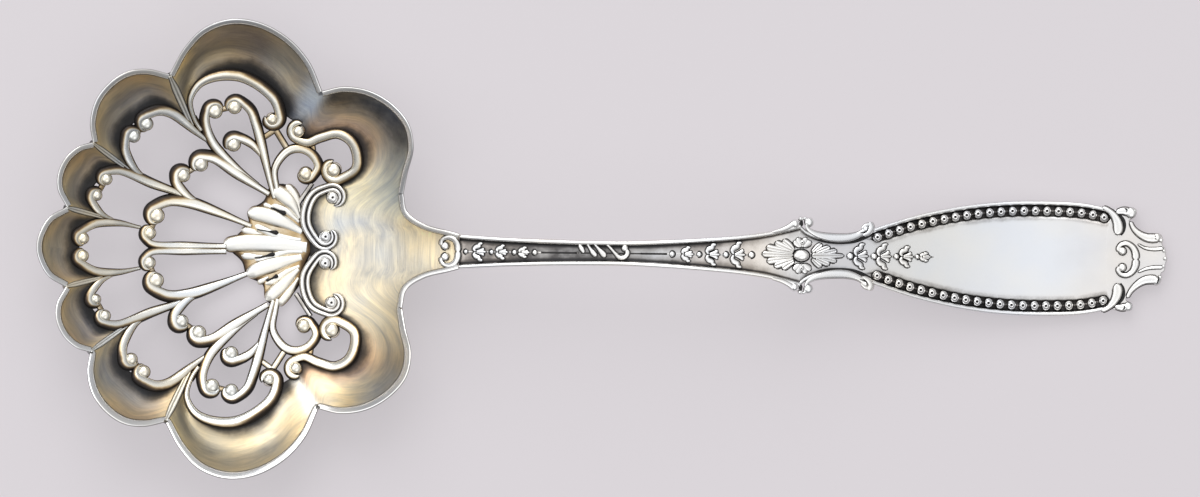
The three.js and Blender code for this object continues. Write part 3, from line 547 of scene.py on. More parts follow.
def pierced_work():
    for name, strands in STRANDS.items():
        whole = name == "tip_rib"
        for side, label in SIDES:
            solid = name if whole else f"{name}_{label}"
            if side > 0 or not whole:
                made = Piece(solid + "_strands", [solid])
            for k, (route, eye, root, full) in enumerate(strands):
                strand(made, side, route, eye, root, full, -0.02 * k)
            for a, b in BRIDGES:
                if any(s[1][:2] == a for s in strands):
                    bridge(made, on_bowl(a, side), on_bowl(b, side), 0.74, 0.8, 0.3)
            if side < 0 or not whole:
                made.make(pierced)


# The scrolls' routes between their eyes; an eye has its place, its radius in pixels and its turn
LOBE_SCROLL = ([
    (-345, 512), (-372, 560), (-390, 640), (-355, 710), (-290, 745), (-195, 750), (-110, 710), (-45, 645),
], (-60, 568, 6.6, -1))
S_SCROLL = ((68, 517, 6.8, -1), [
    (115, 464), (190, 487), (290, 505), (368, 474), (404, 412), (398, 352),
], (274, 350, 8, -1))
HEEL_SCROLL = ((268, 229, 7.6, -1), [(160, 240), (119, 178), (118, 108)], (229, 58, 7.4, 1))
# Small bars that join them to what is beside them: both ends, width, height and their least patina and painted shade
LOBE_BARS = (((273, 120.5), (288, 96.5), 0.85, 0.85, 0.3), ((192.6, 131.6), (198.5, 121.5), 0.6, 0.9, 0.6),
             ((273, 119.5), (257, 108.5), 0.75, 0.8, 0.3))
HEEL_BARS = (((310.5, 66.5), (295.5, 44), 0.62, 0.85, 0.35), ((327, 62), (334, 70), 0.8, 0.9, 0.8))


def lobe_scroll(piece, side):
    route, eye = LOBE_SCROLL
    centre, radius, turn = on_bowl(eye[:2], side), eye[2] * PX, eye[3] * side
    line, t = smooth_run(wind([on_bowl(p, side) for p in route], centre, radius * 1.42, turn, 3.7, 0.2), 14, 0.16)
    width = mix(5.0, 12.2, smooth(t, 0.05, 0.5)) * mix(1, 0.62, smooth(t, 0.78, 1)) * PX * closing(1 - t, 0.04)
    lean = -turn * mix(0.25, 0.9, smooth(t, 0.3, 0.7))
    sweep(piece, line, width, SCROLL_HEIGHT * mix(0.85, 1, smooth(t, 0, 0.2)), bowl_under, STRAND, lean, tilt=TILT)
    ball(piece, centre, radius, bowl_under, SCROLL_BALL, tint=(0.98, 0.94, 0.86))
    for bar_of in LOBE_BARS:
        side_bar(piece, side, *bar_of)


def two_eyed(scroll, side, first_wind, last_wind, step):
    """A line that winds round an eye at each end, its shares, the widths' closing at both ends and the eyes."""
    first, route, last = scroll
    eyes = [(on_bowl(e[:2], side), e[2] * PX, e[3] * side) for e in (first, last)]
    line = [on_bowl(p, side) for p in route]
    for (centre, radius, turn), (wound, angle, tightening) in ((eyes[1], last_wind), (eyes[0], first_wind)):
        line = wind(line, centre, radius * wound, turn, angle, tightening)[::-1]
    line, t = smooth_run(line, 14, step)
    return line, t, closing(np.minimum(t, 1 - t), 0.04), eyes


def s_scroll(piece, side):
    line, t, ends, eyes = two_eyed(S_SCROLL, side, (1.36, 3.3, 0.15), (1.5, 3.6, 0.25), 0.18)
    width = mix(7.0, 11.2, smooth(t, 0, 0.35)) * mix(1, 0.62, smooth(t, 0.75, 1)) * PX * ends
    lean = np.where(t < 0.3, eyes[0][2], -eyes[1][2]) * 0.8 * np.abs(t - 0.3) ** 0.5
    sweep(piece, line, width, SCROLL_HEIGHT, bowl_under, STRAND, lean, tilt=TILT)
    for centre, radius, _ in eyes:
        ball(piece, centre, radius * 0.98, bowl_under, SCROLL_BALL, tint=(0.97, 0.95, 0.92))
    bridge(piece, on_bowl((150, 430), side), on_bowl((140, 485), side), 0.8, 0.8, 0.4)


def heel_scroll(piece, side):
    line, t, ends, eyes = two_eyed(HEEL_SCROLL, side, (1.4, 3.5, 0.2), (1.4, 3.5, 0.2), 0.15)
    width = (5.2 + 6.6 * np.sin(math.pi * t) ** 0.7) * PX * ends
    section = GROOVED if side > 0 else [(-u, v, s) for u, v, s in GROOVED][::-1]
    sweep(piece, line, width, SCROLL_HEIGHT, bowl_under, section)
    for centre, radius, _ in eyes:
        ball(piece, centre, radius * 0.9, bowl_under, 1.65, reflection_pit=0.15)
    for bar_of in HEEL_BARS:
        side_bar(piece, side, *bar_of)


def scrolls():
    for side, label in SIDES:
        for name, draw, material in (("lobe_scroll", lobe_scroll, pierced), ("s_scroll", s_scroll, pierced),
                                     ("heel_scroll", heel_scroll, struck)):
            piece = Piece(f"{name}_{label}_wire", [f"{name}_{label}"])
            draw(piece, side)
            piece.make(material)


# The lobed dish: each lobe's first place in its wave, its share of the depth, then places on the rim and, beside
# each, on the edge of the pierced work
LOBES = [
    ("tip", 0.5, 1, [(37, 0, 79, 0), (39.5, 13, 78, 11), (49, 29.5, 85, 24.5), (66, 40, 100, 31)]),
    ("front", 0, 1, [
        (66, 40, 100, 31), (57.5, 57, 89.5, 41), (57.4, 73, 89.5, 55), (65, 89.5, 98, 68), (78, 100.8, 108, 80),
        (91.5, 105, 127, 78),
    ]),
    ("side", 0, 1, [
        (91.5, 105, 127, 78), (89, 125, 119.5, 100), (95, 148, 125, 117), (110, 166.5, 140, 131),
        (128, 176.8, 155, 141.5), (147, 178.6, 172, 138), (167.5, 174, 187, 128),
    ]),
    ("great", 0, 1.5, [
        (167.5, 174, 187, 128), (181.9, 199.8, 189, 146), (201.4, 219.9, 197.5, 164), (228.2, 229.6, 222, 173),
        (257.4, 226.6, 247, 169), (286.7, 210.8, 268, 155), (307.4, 187.6, 280, 137), (320, 159, 296, 126),
    ]),
    ("shoulder", 0, 1, [
        (320, 159, 296, 126), (341, 163.6, 301, 107), (367, 160, 321, 113.5), (391, 146.5, 340, 114.5),
        (408, 126, 354, 101), (412.3, 102, 355.5, 82), (406.5, 77.4, 343, 67.5), (402.7, 57, 325, 62),
    ]),
    ("heel", 0, 0, [
        (402.7, 57, 325, 62), (407, 39, 309, 50), (423.8, 27.4, 305, 33), (449.5, 20.4, 309.5, 15),
        (459, 17.7, 309.5, 9),
    ]),
]
DISH_DEPTH, ROWS = 0.9, 26
# Ridges stand between the lobes, from the notch of the rim to the pierced work
RIDGES = (((66.5, 39.5), (103, 30), 5.8), ((92, 104), (130, 76), 5.8), ((168, 172), (190.5, 122), 7.6))
GOLD, BROWN, OLIVE, PALE, SILVERY, STEEL = np.array([(0.92, 0.7, 0.38), (0.56, 0.4, 0.29), (0.46, 0.4, 0.33),
                                                     (0.93, 0.82, 0.65), (0.93, 0.9, 0.87), (0.78, 0.8, 0.83)])
STRAW = mix(PALE, GOLD, 0.3)


def lobe_columns(side):
    """Columns of the dish from the tip to the neck: rim place, inner place, dish, lobe and place in it."""
    columns = []
    for name, start, depth, places in LOBES:
        table = (np.array(places) - (SEAT, 0, SEAT, 0)) * PX
        rim_line, edge_line = (curve(k, 12) * (1, side) for k in (table[:, :2], table[:, 2:]))
        t = shares(rim_line)
        wave = np.sin(math.pi * mix(start, 1, t))
        if name == "great":
            wave = wave * mix(1, smooth(1 - t, 0, 0.34), smooth(t, 0.6, 0.75))
        if name == "shoulder":
            wave = wave * smooth(t, 0, 0.26) * smooth(1 - t, 0, 0.4)
        for i in range(1 if columns else 0, len(t)):
            columns.append((rim_line[i], edge_line[i], DISH_DEPTH * depth * wave[i], name, t[i]))
    return columns


def blend(a, b, amounts):
    """Two colours, mixed by an amount for each row."""
    return mix(a, b, amounts[:, None])


def heel_tint(t, share, side):
    """The heel: silvery in the middle, gilt on both sides, and the same at the neck from both sides."""
    both = smooth(t, 0.1, 0.9)
    centre = mix(0.42 if side > 0 else 0.55, 0.48, both)
    width = mix(0.24 if side > 0 else 0.34, 0.28, both)
    middle = np.exp(-((share - centre) / width) ** 2) * mix(smooth(t, 0.2, 0.6), 1, 0.0 if side > 0 else 0.7)
    # The right side starts paler and warmer than the left: painted light
    start = np.array((1.0, 0.92, 0.74)) if side > 0 else PALE
    warm = mix(start, mix(PALE, GOLD, 0.2), smooth(t, 0.1, 0.7))
    colour = blend(warm, SILVERY * 0.82, 0.95 * middle)
    return blend(colour, STRAW * 1.02, 0.7 * both * smooth(share, 0.74, 0.95))


def inner_shade(share):
    """Darker beside the pierced work."""
    return mix(0.5, 1.0, smooth(share, 0.05, 0.75))[:, None]


def small_lobe_tints(name, t, share, from_edge, side):
    """The tip, front and side lobes: brown and olive, gilt along the rim and beside the ridges, and painted lighter
    on the left side.
    """
    light = mix(1.14, 1.0 if side > 0 else 1.28, smooth(t, 0, 0.8) if name == "tip" else 1)
    colour = blend(BROWN, OLIVE, 0.5 + 0.5 * np.sin(3 * share + 2 * t)) * light
    ridge = float(max(0, 1 - (1 - t) / 0.3) if name == "tip" else max(1 - t / 0.2, 1 - (1 - t) / 0.2, 0))
    colour = mix(colour * inner_shade(share), GOLD[None], 0.6 * ridge)
    streaks = 0.5 + 0.5 * np.sin(17 * share + 5 * t)
    colour = blend(colour, GOLD * 0.95, 0.6 * smooth(share, 0.45, 0.9) * mix(0.5, 1.15, streaks))
    return colour, 0.95 * (1 - smooth(from_edge, 0.2, 2.7)) * (1 - 0.55 * ridge)


def great_tints(t, share, from_edge, side):
    """The widest lobe: brown above and straw below, the straw a painted reflection, gilt at its left and steel at
    its right.
    """
    colour = blend(BROWN, OLIVE, 0.5 + 0.5 * np.sin(2.5 * share + 3 * t))
    colour = blend(colour, GOLD * 0.8, 0.35 * smooth(share, 0.7, 0.95)) * inner_shade(share)
    # On the left side the lobe is painted straw: a painted reflection
    if side < 0:
        colour = mix(colour, STRAW[None] * mix(0.56, 0.78, smooth(t, 0.2, 0.55)), 0.8)
    left = 1 - smooth(t, 0.06, 0.3)
    colour = blend(colour, GOLD, left * (0.55 + 0.4 * np.sin(9 * share)))
    # On the right side only, a warm pale patch: painted light
    warm = smooth(t, 0.55, 0.75) * (1 if side > 0 else 0)
    colour = blend(colour, mix(PALE, GOLD, 0.4) * 0.95, 0.6 * warm * smooth(share, 0.1, 0.5))
    right = smooth(t, 0.84 if side > 0 else 0.9, 0.99)
    colour = mix(colour, STEEL[None], right * 0.9)
    # The painted shade beside the pierced work reaches further on the right side, which also gets a little more
    reach = mix(1.2, 3.6, smooth(t, 0.2, 0.55)) * (1 if side > 0 else 0.72)
    soot = 1.0 * (1 - smooth(from_edge, 0.25, reach)) * (1 - 0.7 * left) * (1 - 0.6 * right)
    return colour, soot + (0.12 * smooth(t, 0.3, 0.6) * (1 - left) * (1 - right) if side > 0 else 0)


def shoulder_tints(t, share, from_edge, from_rim, side):
    """The shoulder: steel at its start, painted shade along the rim, and the heel's colour at its end."""
    colour = blend(BROWN * 1.2, OLIVE * 1.25, smooth(share, 0.2, 0.8))
    first = 1 - smooth(t, 0, 0.14 if side > 0 else 0.07)
    colour = mix(colour, STEEL[None], first * 0.9)
    heel = smooth(t, 0.5, 0.9)
    # On the left side, a straw patch: painted light
    if side < 0:
        colour = blend(colour, STRAW, 0.8 * ((1 - smooth(np.abs(t - 0.28), 0.1, 0.3)) * smooth(share, 0.3, 0.6)))
    colour = mix(colour, heel_tint(0.0, share, side), heel)
    middle = smooth(t, 0.2, 0.35) * (1 - smooth(t, 0.5, 0.65))
    colour = blend(colour, STEEL * 0.8, middle * 0.55 * smooth(share, 0.4, 0.8))
    soot = mix(1.0, 0.85, heel) * (1 - smooth(from_edge, 0.25, mix(3.4, 2.6, heel))) * (1 - 0.5 * first)
    # Painted shade along the rim, much stronger on the right side
    painted_rim_shade = (0.6 if side > 0 else 0.14) * (1 - heel) * (1 - first)
    return colour, soot + painted_rim_shade * (1 - smooth(from_rim, 1.6, 4.2)) * smooth(from_rim, 0.2, 0.9)


def dish_tints(name, t, share, span, side):
    """Colour, patina and painted shade of the dish at one column: gilding, brown, and the painted shade that lies
    against the scrolls.
    """
    from_edge, from_rim = span * share, span * (1 - share)
    if name == "great":
        colour, soot = great_tints(t, share, from_edge, side)
    elif name == "shoulder":
        colour, soot = shoulder_tints(t, share, from_edge, from_rim, side)
    elif name == "heel":
        colour, soot = heel_tint(t, share, side), 0.85 * (1 - smooth(from_edge, 0.25, 2.6))
    else:
        colour, soot = small_lobe_tints(name, t, share, from_edge, side)
    # A thin painted shade at the foot of the rim wire
    line = 0.5 * (1 - smooth(from_rim, 0.55, 0.85))
    return colour, np.clip(np.maximum(soot, line), 0, 1)


def dish():
    """The lobed dish, one closed skin from the neck round the tip and back to the neck."""
    right, left = lobe_columns(1), lobe_columns(-1)
    neck = [(np.array((NECK, k * 17.7 * PX)), np.array(at(309.5, k * 9)), 0.0, "heel", 1.0)
            for k in np.linspace(1, -1, 15)[1:-1]]
    ring = right + neck + left[::-1][:-1]
    side_of = [1] * (len(right) + len(neck)) + [-1] * (len(left) - 1)
    share = np.linspace(0, 1, ROWS)
    tops, unders, soots, tints, grains = [], [], [], [], []
    run, before = 0.0, ring[0][0]
    for (rim_place, edge, depth, name, t), side in zip(ring, side_of):
        x, y = (edge[None] + (rim_place - edge)[None] * share[:, None]).T
        base = bowl_under(x, y) - depth * np.sin(math.pi * share)
        span = np.linalg.norm(rim_place - edge)
        colour, soot = dish_tints(name, t, share, span, side)
        run += np.linalg.norm(rim_place - before)
        before = rim_place
        tops.append(np.column_stack([x, y, base + thickness(x)]))
        unders.append(np.column_stack([x, y, base]))
        soots.append(soot)
        tints.append(colour)
        grains.append(np.column_stack([np.full(ROWS, run), span * share]))
    n, grains = len(ring), np.array(grains)
    sections = np.concatenate([tops, np.array(unders)[:, ::-1]], axis=1)
    soot = np.concatenate([soots, np.full((n, ROWS), 0.12)], axis=1)
    tint = np.concatenate([tints, np.broadcast_to((0.8, 0.78, 0.74), (n, ROWS, 3))], axis=1)
    grain = np.concatenate([grains, grains[:, ::-1]], axis=1)
    piece = Piece("lobed_dish", ["bowl_shell"])
    piece.add(sections, ring_faces(n, 2 * ROWS, True), soot, tint.reshape(-1, 3), grain.reshape(-1, 2))
    for side, _ in SIDES:
        for a, b, width in RIDGES:
            line = even([at(a[0], side * a[1]), at(b[0], side * b[1])], 0.2)
            t = shares(line)
            swell = mix(0.6, 1.05, smooth(t, 0, 0.3)) * mix(1, 0.7, smooth(t, 0.5, 1))
            # The ridges on the right side are painted darker than those on the left: painted shade
            sweep(piece, line, width * PX * swell, WALL + mix(0.42, 0.3, t), bowl_under, FOLD,
                  darkness=0.8 if side > 0 else 0.4, tint=(1.0, 0.94, 0.84), tilt=2 * TILT)
    piece.make(dished)


def rim():
    """The bright wire along the edge of the lobes, a length for each lobe."""
    piece = Piece("rim_wire", ["bowl_rim"])
    for side, _ in SIDES:
        for name, _, _, places in LOBES:
            line = (np.array(places)[:, :2] - (SEAT, 0)) * PX
            if name == "tip":
                line = np.vstack([line[1:][::-1] * [1, -1], line])
                if side < 0:
                    continue
            line = close_ends(even(curve(line, 16), 0.2))
            direction = along(line)
            inner = np.column_stack([direction[:, 1], -direction[:, 0]])
            wider = RIM_SWELL if side < 0 and name in ("side", "great", "shoulder") else 0
            width = RIM_WIDTH + wider * np.sin(math.pi * shares(line)) ** 0.7
            line = (line + inner * (width[:, None] / 2 - 0.02)) * [1, side]
            sweep(piece, line, width, thickness(line[:, 0]) + LIP_STAND, bowl_under, WIRE)
    piece.make(edged)


# The palmette, from the photograph: each leaf's line, its width in pixels at the root and in full, and its height
LEAVES = [
    ([(306, 247.5), (270, 243.5), (245, 242.8), (222, 245.3)], 13.5, 17, 1.5),
    ([(300, 240), (276, 236), (262, 229.5), (253.5, 225.3)], 5, 9, 1.25),
    ([(262, 236), (252, 232.2), (239.8, 229.5)], 5, 8, 1.2),
    ([(301, 232), (282, 221.5), (262, 214.5), (246.2, 212.7)], 8, 16, 1.5),
    ([(298, 222), (286, 211.5), (278, 207.8), (270, 204.8)], 4.5, 8, 1.25),
    ([(276, 210), (267, 206), (261, 203.5)], 4, 6.5, 1.1),
    ([(299, 218), (290, 203), (279, 193.5), (268.8, 188)], 6, 14.5, 1.5),
    ([(299, 212), (295, 199), (290, 190.5), (284, 185)], 4, 9, 1.3),
    ([(302, 252), (285, 252), (262, 259.5), (253, 259.8)], 4, 7.4, 1.2),
    ([(262, 256.5), (252, 256.6), (240, 255.5)], 4, 8, 1.2),
    ([(301, 257), (282, 262), (260, 268.5), (246, 275)], 8, 15.5, 1.5),
    ([(299, 266), (286, 272), (272, 281.5), (264.5, 284)], 4.5, 7.6, 1.25),
    ([(268, 277), (262, 280.5), (256.5, 283)], 4, 6, 1.1),
    ([(298, 269), (286, 281.5), (275, 291.5), (265.8, 300.6)], 6, 13.5, 1.5),
    ([(298, 278), (290, 290), (284, 298), (277.5, 305.5)], 4, 9, 1.3),
]
# The drops pierced between its leaves, from head to tail, then its outline
HOLES = [
    ((284.7, 213.8), (269.5, 207.2)), ((277.4, 232.8), (256, 229.6)), ((274.2, 253.9), (254, 258)),
    ((277.4, 275.6), (265.5, 280.8)),
]
PALMETTE = [
    (225, 246), (237, 233.5), (247, 223), (246, 211), (262, 200.5), (268, 187), (284, 184), (297.5, 199),
    (301, 216), (305, 232), (310.5, 243), (311, 251), (305.5, 264), (300, 284), (278, 306), (265, 300), (262, 285),
    (246, 276), (241, 262), (231, 252.5),
]


def palmette():
    piece = Piece("palmette_leaves", ["palmette"])
    ring = curve([seen(*p) for p in PALMETTE + PALMETTE[:1]], 6)[:-1]
    centre = ring.mean(axis=0)
    levels = [(0.02, 0.0), (0.97, 0.0), (1.0, 0.25), (0.985, 0.9), (0.95, 1.02), (0.8, 1.06), (0.02, 1.08)]
    sections = np.array([np.column_stack([centre + (ring - centre) * k, np.full(len(ring), h)]) for k, h in levels])
    # The ground is dark round its edge: painted shade at the foot of the leaves
    skin(piece, sections, np.array([0.2, 0.3, 0.9, 1.0, 0.6, 0.3, 0.16])[:, None], (1.0, 0.95, 0.86))

    def seat(x, y):
        return 0.05 + 0 * x

    for route, root, full, height in LEAVES:
        line, t = smooth_run([seen(*p) for p in route], 16, 0.1)
        width = mix(root, full, smooth(t, 0, 0.6)) * 1.12 * mix(1, 0.84, smooth(t, 0.7, 1)) * PX
        swell = mix(1.1 / height, 1.0, smooth(t, 0, 0.5)) * mix(1, 0.84, smooth(t, 0.84, 1))
        darkness = mix(0.5, 1.0, smooth(t, 0.03, 0.5))[:, None]
        sweep(piece, line, round_ends(line, width, False), height * swell, seat, BLADE, darkness=darkness)
    # Each pierced drop is drawn as a black drop standing among the leaves: the painted shade seen through the hole
    hole_shade = [(-1, 0, 1), (-1, 1, 1), (-0.4, 1.01, 1), (0, 1.02, 1), (0.4, 1.01, 1), (1, 1, 1), (1, 0, 1)]
    for head, tail in HOLES:
        line = even([seen(*head), seen(*tail)], 0.1)
        t = shares(line)
        width = mix(0.62, 0.14, smooth(t, 0, 0.55)) * closing(t, 0.12, 0.05)
        sweep(piece, line, width, mix(1.46, 1.3, t), seat, hole_shade)
    piece.make(leafed)


# Stem and handle

def stroke(piece, route, widths, height, base=handle_floor, profile=RELIEF, darkness=1.0, lean=0.0, outline=0.1):
    """A stroke of relief with round ends on a dark foot, a painted shadow round it. Its widths, in pixels, are
    spread along its route.
    """
    line, t = smooth_run([at(*p) for p in route], 12, 0.07)
    width = round_ends(line, np.interp(t, shares(widths), widths) * PX)
    sweep(piece, line, width, height, base, profile, lean, darkness)
    if outline:
        direction = along(line) * outline
        foot = np.vstack([line[:1] - direction[:1], line, line[-1:] + direction[-1:]])
        sweep(piece, foot, np.concatenate([width[:1], width, width[-1:]]) + 2 * outline, 0.05, base, SHADE_FOOT)


def tall(piece, side, route, widths, height):
    """A stroke that stands as high as the lips."""
    stroke(piece, flip(route, side), widths, height, handle_under, TALL, outline=0)


def shade(piece, route, widths, base=handle_floor, lift=0.045):
    """A dark sheet laid in a hollow: painted shade."""
    line, t = smooth_run([at(*p) for p in route], 12, 0.09)
    sweep(piece, line, np.interp(t, shares(widths), widths) * PX, lift, base, SHADE_FOOT)


def groove(piece, a, b, width, height, soot):
    """A fine dark straight line on the axis, standing for a groove: its patina and painted shade."""
    sweep(piece, even([at(a, 0), at(b, 0)], 0.5), width, height, handle_floor, sooted(RELIEF, soot))


# Half widths along the stem and the handle, then how dark the stem's channel is along it
STEM = [
    (459, 17.7), (480, 16.4), (502, 15.2), (540, 13.8), (584, 12.9), (625, 12.8), (666, 14.5), (700, 16.6),
    (743, 20.3), (770, 24.2), (790, 29), (800, 31.5),
]
PLATE = [
    (800, 30.5), (806, 25.5), (816, 21.5), (835, 18.6), (851, 20), (863, 24.4), (872, 27.6), (886, 32.5),
    (917, 42.2), (962, 51.9), (1006, 57), (1051, 57.9), (1084, 56.2), (1107, 51.5), (1117, 47),
]
STEM_DARK = ((455, 470, 500, 540, 570, 605, 640, 670, 705, 740, 772, 800),
             (0.34, 0.56, 0.6, 0.61, 0.57, 0.53, 0.54, 0.54, 0.47, 0.34, 0.16, 0.08))


def bar(piece, table, section_at):
    """A bar of changing width; section_at gives half a section as (offset, height, patina and painted shade, tint),
    up to the middle.
    """
    line = close_ends(even(curve([at(x, w) for x, w in table], 12), 0.3))
    sections, soots, tints = [], [], []
    for k, (x, w) in enumerate(line):
        start = max(x, NECK + 0.05)
        half = section_at(start, w)
        if k in (0, len(line) - 1):
            # The end faces stop at the floor's height, so that their fans stay below it
            half = [(y, min(z, half[-1][1]), s, c) for y, z, s, c in half]
        whole = half + [(-y, z, s, c) for y, z, s, c in half[::-1]]
        sections.append([(start, y, float(handle_under(x)) + z) for y, z, _, _ in whole])
        soots.append([s for _, _, s, _ in whole])
        tints += [c for _, _, _, c in whole]
    skin(piece, np.array(sections), np.array(soots), tints)


def edge_half(w, lip):
    """Underside, side and rounded lip, out from the middle."""
    under = [(0.3, 0, 0.05), (0.62, 0.02, 0.05), (0.86, 0.14, 0.05), (0.97, 0.4, 0.08), (1, 0.8, 0.12)]
    crown = [(0, 0.78, 0.15), (0.1, 0.93, 0.05), (0.3, 0.995, 0), (0.5, 1, 0), (0.72, 0.985, 0), (0.9, 0.9, 0.25)]
    return [(w * k, z, s, WHITE) for k, z, s in under] + [(w - lip * k, LIP_TOP * z, s, WHITE) for k, z, s in crown]


def stem_section(x, w):
    px = x / PX + SEAT
    dark = smooth(px, 470, 520) * (1 - smooth(px, 600, 690))
    cool = smooth(px, 500, 540) * (1 - smooth(px, 640, 720))
    floor = float(np.interp(px, *STEM_DARK))
    clear = smooth(px, 600, 650)
    grey = mix(mix(np.array((0.93, 0.89, 0.86)), np.array((0.84, 0.87, 0.92)), cool), np.array((0.875, 0.88, 0.885)),
               smooth(px, 745, 796))
    sink = float(handle_floor(x) - handle_under(x))
    lip = 0.66
    inner = w - lip
    # At the foot of each lip the channel is darkest: painted shade in the corner
    return edge_half(w, lip) + [
        (inner, mix(LIP_TOP * 0.8, sink + 0.02, 0.9), 0.75 + 0.25 * dark, grey),
        (inner - 0.09, sink, min(1, floor + 0.5), grey), (inner - 0.26, sink, min(1, floor + 0.14), grey),
        (inner * 0.55, sink, floor * mix(0.98, 0.8, clear), grey),
        (inner * 0.12, sink, floor * mix(0.94, 0.5, clear), grey)]


def plate_section(x, w):
    px = x / PX + SEAT
    opened = smooth(px, 862, 882) * (1 - smooth(px, 1107, 1114))
    collar = 1 - smooth(px, 850, 880)
    start = 1 - smooth(px, 799, 850)
    last = smooth(px, 1100, 1112)
    lip = mix(PLATE_LIP, 0.5, last)
    foot = w - lip
    channel = mix(mix(0.25, 0.5, collar), 1.3, opened)
    depth = 0.4 * opened
    grey = (0.85, 0.85, 0.86)
    tone = mix(np.array((0.93, 0.937, 0.945)), np.array((0.9, 0.88, 0.87)), max(smooth(px, 1040, 1110), collar))
    sink = float(handle_floor(x) - handle_under(x))
    inner = max(foot - channel, 0.4)
    quiet = mix(0.45, 0.1, last)
    return edge_half(w, lip) + [
        (foot, sink - depth * 0.8, mix(0.2 + quiet, 0.85, opened), grey),
        (foot - channel * 0.12, sink - depth, mix(0.5 * quiet + 0.35 * collar, 0.8, opened), grey),
        (foot - channel * 0.5, sink - depth, mix(0.3 * collar, 0.58, opened), grey),
        (foot - channel * 0.88, sink - depth, mix(0.2 * collar, 0.68, opened), grey),
        (inner, sink - depth * 0.3, mix(0.14 * collar, 0.58, opened), grey),
        (inner - 0.1, sink, mix(0.1, 0.34, opened), tone),
        (max(inner - 0.42, inner * 0.75), sink, mix(0.06, 0.26, opened), tone),
        (max(inner - 0.9, inner * 0.5), sink, 0.03 + 0.1 * start, tone), (inner * 0.3, sink, 0.08 * start, tone),
        (inner * 0.1, sink, 0.07 * start, tone)]


def bars():
    piece = Piece("stem_bar", ["stem"])
    bar(piece, STEM, stem_section)
    for side, _ in SIDES:
        tall(piece, side, [(772, 23), (783, 26), (790, 29.5), (795, 33.5)], (3, 5, 6), 1.98)
        for px, v, r, h in ((794.6, 31.6, 4.6, 2.1), (800.2, 36.8, 2.6, 1.98)):
            ball(piece, at(px, v * side), r * PX, handle_under, h, low=0.75, dark=0.5)
    piece.make(edged)

    piece = Piece("handle_field", ["handle_plate"])
    bar(piece, PLATE, plate_section)
    piece.make(plate)


def bead_rows():
    table = even(curve([at(x, w) for x, w in PLATE], 12), 0.1)
    mm = (np.linspace(877.5, 1105, 400) - SEAT) * PX
    off = np.interp(mm, table[:, 0], table[:, 1]) - PLATE_LIP - BEAD_OFF
    for side, label in SIDES:
        piece = Piece(f"bead_row_{label}_pearls", [f"bead_row_{label}"])
        line = np.column_stack([mm, off * side])
        reach = reaches(line)
        for mark in np.linspace(0, reach[-1], BEADS):
            place = tuple(np.interp(mark, reach, line[:, k]) for k in (0, 1))
            ball(piece, place, BEAD_RADIUS, bead_floor, BEAD_HEIGHT, low=0.48, dark=0.9, reflection_pit=0.16)
        sweep(piece, even(line, 0.4), THREAD_WIDTH, THREAD_HEIGHT, bead_floor, sooted(RELIEF, 0.66))
        piece.make(beaded)


# Ornaments

def husk(piece, px, reach):
    """A bell flower: two leaves that bulge, then curl out, two small ones and a middle one."""
    k = mix(0.62, 1.0, min(1, reach / 12.0))
    for side, _ in SIDES:
        leaf = [(-4.6 * k, 0.4), (-6 * k, reach * 0.3), (-4.2 * k, reach * 0.52), (-0.6 * k, reach * 0.66),
                (-0.4 * k, reach * 0.84), (3.2 * k, reach - 0.6)]
        small = [(-3.5 * k, 0.6), (-0.2 * k, reach * 0.12), (3.2 * k, reach * 0.24), (4.6 * k, reach * 0.42)]
        stroke(piece, [(px + x, side * v) for x, v in leaf], (2.4, 4.2 * k, 5.6 * k, 5.0 * k, 4.0 * k, 2.6 * k),
               LEAF_HEIGHT)
        stroke(piece, [(px + x, side * v) for x, v in small], (2.2, 3.4 * k, 4.4 * k, 3.4 * k), 0.46)
    stroke(piece, [(px - 3 * k, 0), (px + 2 * k, 0), (px + 7 * k, 0)], (2.2, 3.4 * k, 2.6 * k), 0.56)


# Each run: its line, its groove, its pearls' places and radii, its husks' places and reaches
HUSK_RUNS = {
    "neck_husk": ((464, 579), (541, 577), ((466, 2.2), (491.8, 2.3), (514.7, 2.5), (535, 2.6)),
                  ((479.5, 9.0), (502.0, 7.0), (524.2, 5.2))),
    "stem_husk": ((640, 753), (641, 667), ((672, 2.8), (698.9, 2.6), (725.6, 2.8), (751.2, 3.1)),
                  ((687.6, 7.4), (712.8, 10.8), (738.2, 13))),
    "handle_husk": ((847, 934), (), ((850, 3.2), (874, 3.0), (896.5, 2.6), (917.6, 2.3)),
                    ((861.5, 13), (884.5, 13.2), (907.0, 10.5), (926, 4.2))),
}
LEAF_STROKES = [([(579, 8.2), (581.5, 4.5), (584, 0.2)], (3.4, 5.2, 3.4)),
                ([(587.4, 8.6), (590.5, 4), (594, -0.6), (596.4, -3)], (2.0, 3.2, 5.4, 4.6)),
                ([(594.4, 8.8), (598.5, 4.4), (603, -0.6), (605.4, -3.6)], (2.0, 3.2, 5.8, 6.4)),
                ([(606.8, 8.8), (611, 4.6), (615, 0.2), (619.5, -4), (624.5, -3.6), (627.4, 0), (626.8, 4)],
                 (2.2, 2.8, 3.4, 4.2, 4.6, 4.8, 5.0))]
NECK_CURL = [(458, -0.5), (457.4, 6.5), (454, 11.8), (448.6, 14), (443.2, 12.6), (440.9, 9), (441.6, 5.8)]
END_CURL = [(1137.2, -0.6), (1136.9, 6), (1133.6, 12.4), (1128, 15.9), (1122.4, 14.8), (1119.7, 11), (1120.6, 7.6)]


def curls(name, node, curl, widths, height, base, eye, radius, eye_height, skirt):
    """Two curls, one on each side of the axis, each round an eye."""
    piece = Piece(name, [node])
    for side, _ in SIDES:
        stroke(piece, flip(curl, side), widths, height, base)
        ball(piece, at(eye[0], side * eye[1]), radius * PX, base, eye_height, sides=20, skirt=skirt)
    piece.make(struck)


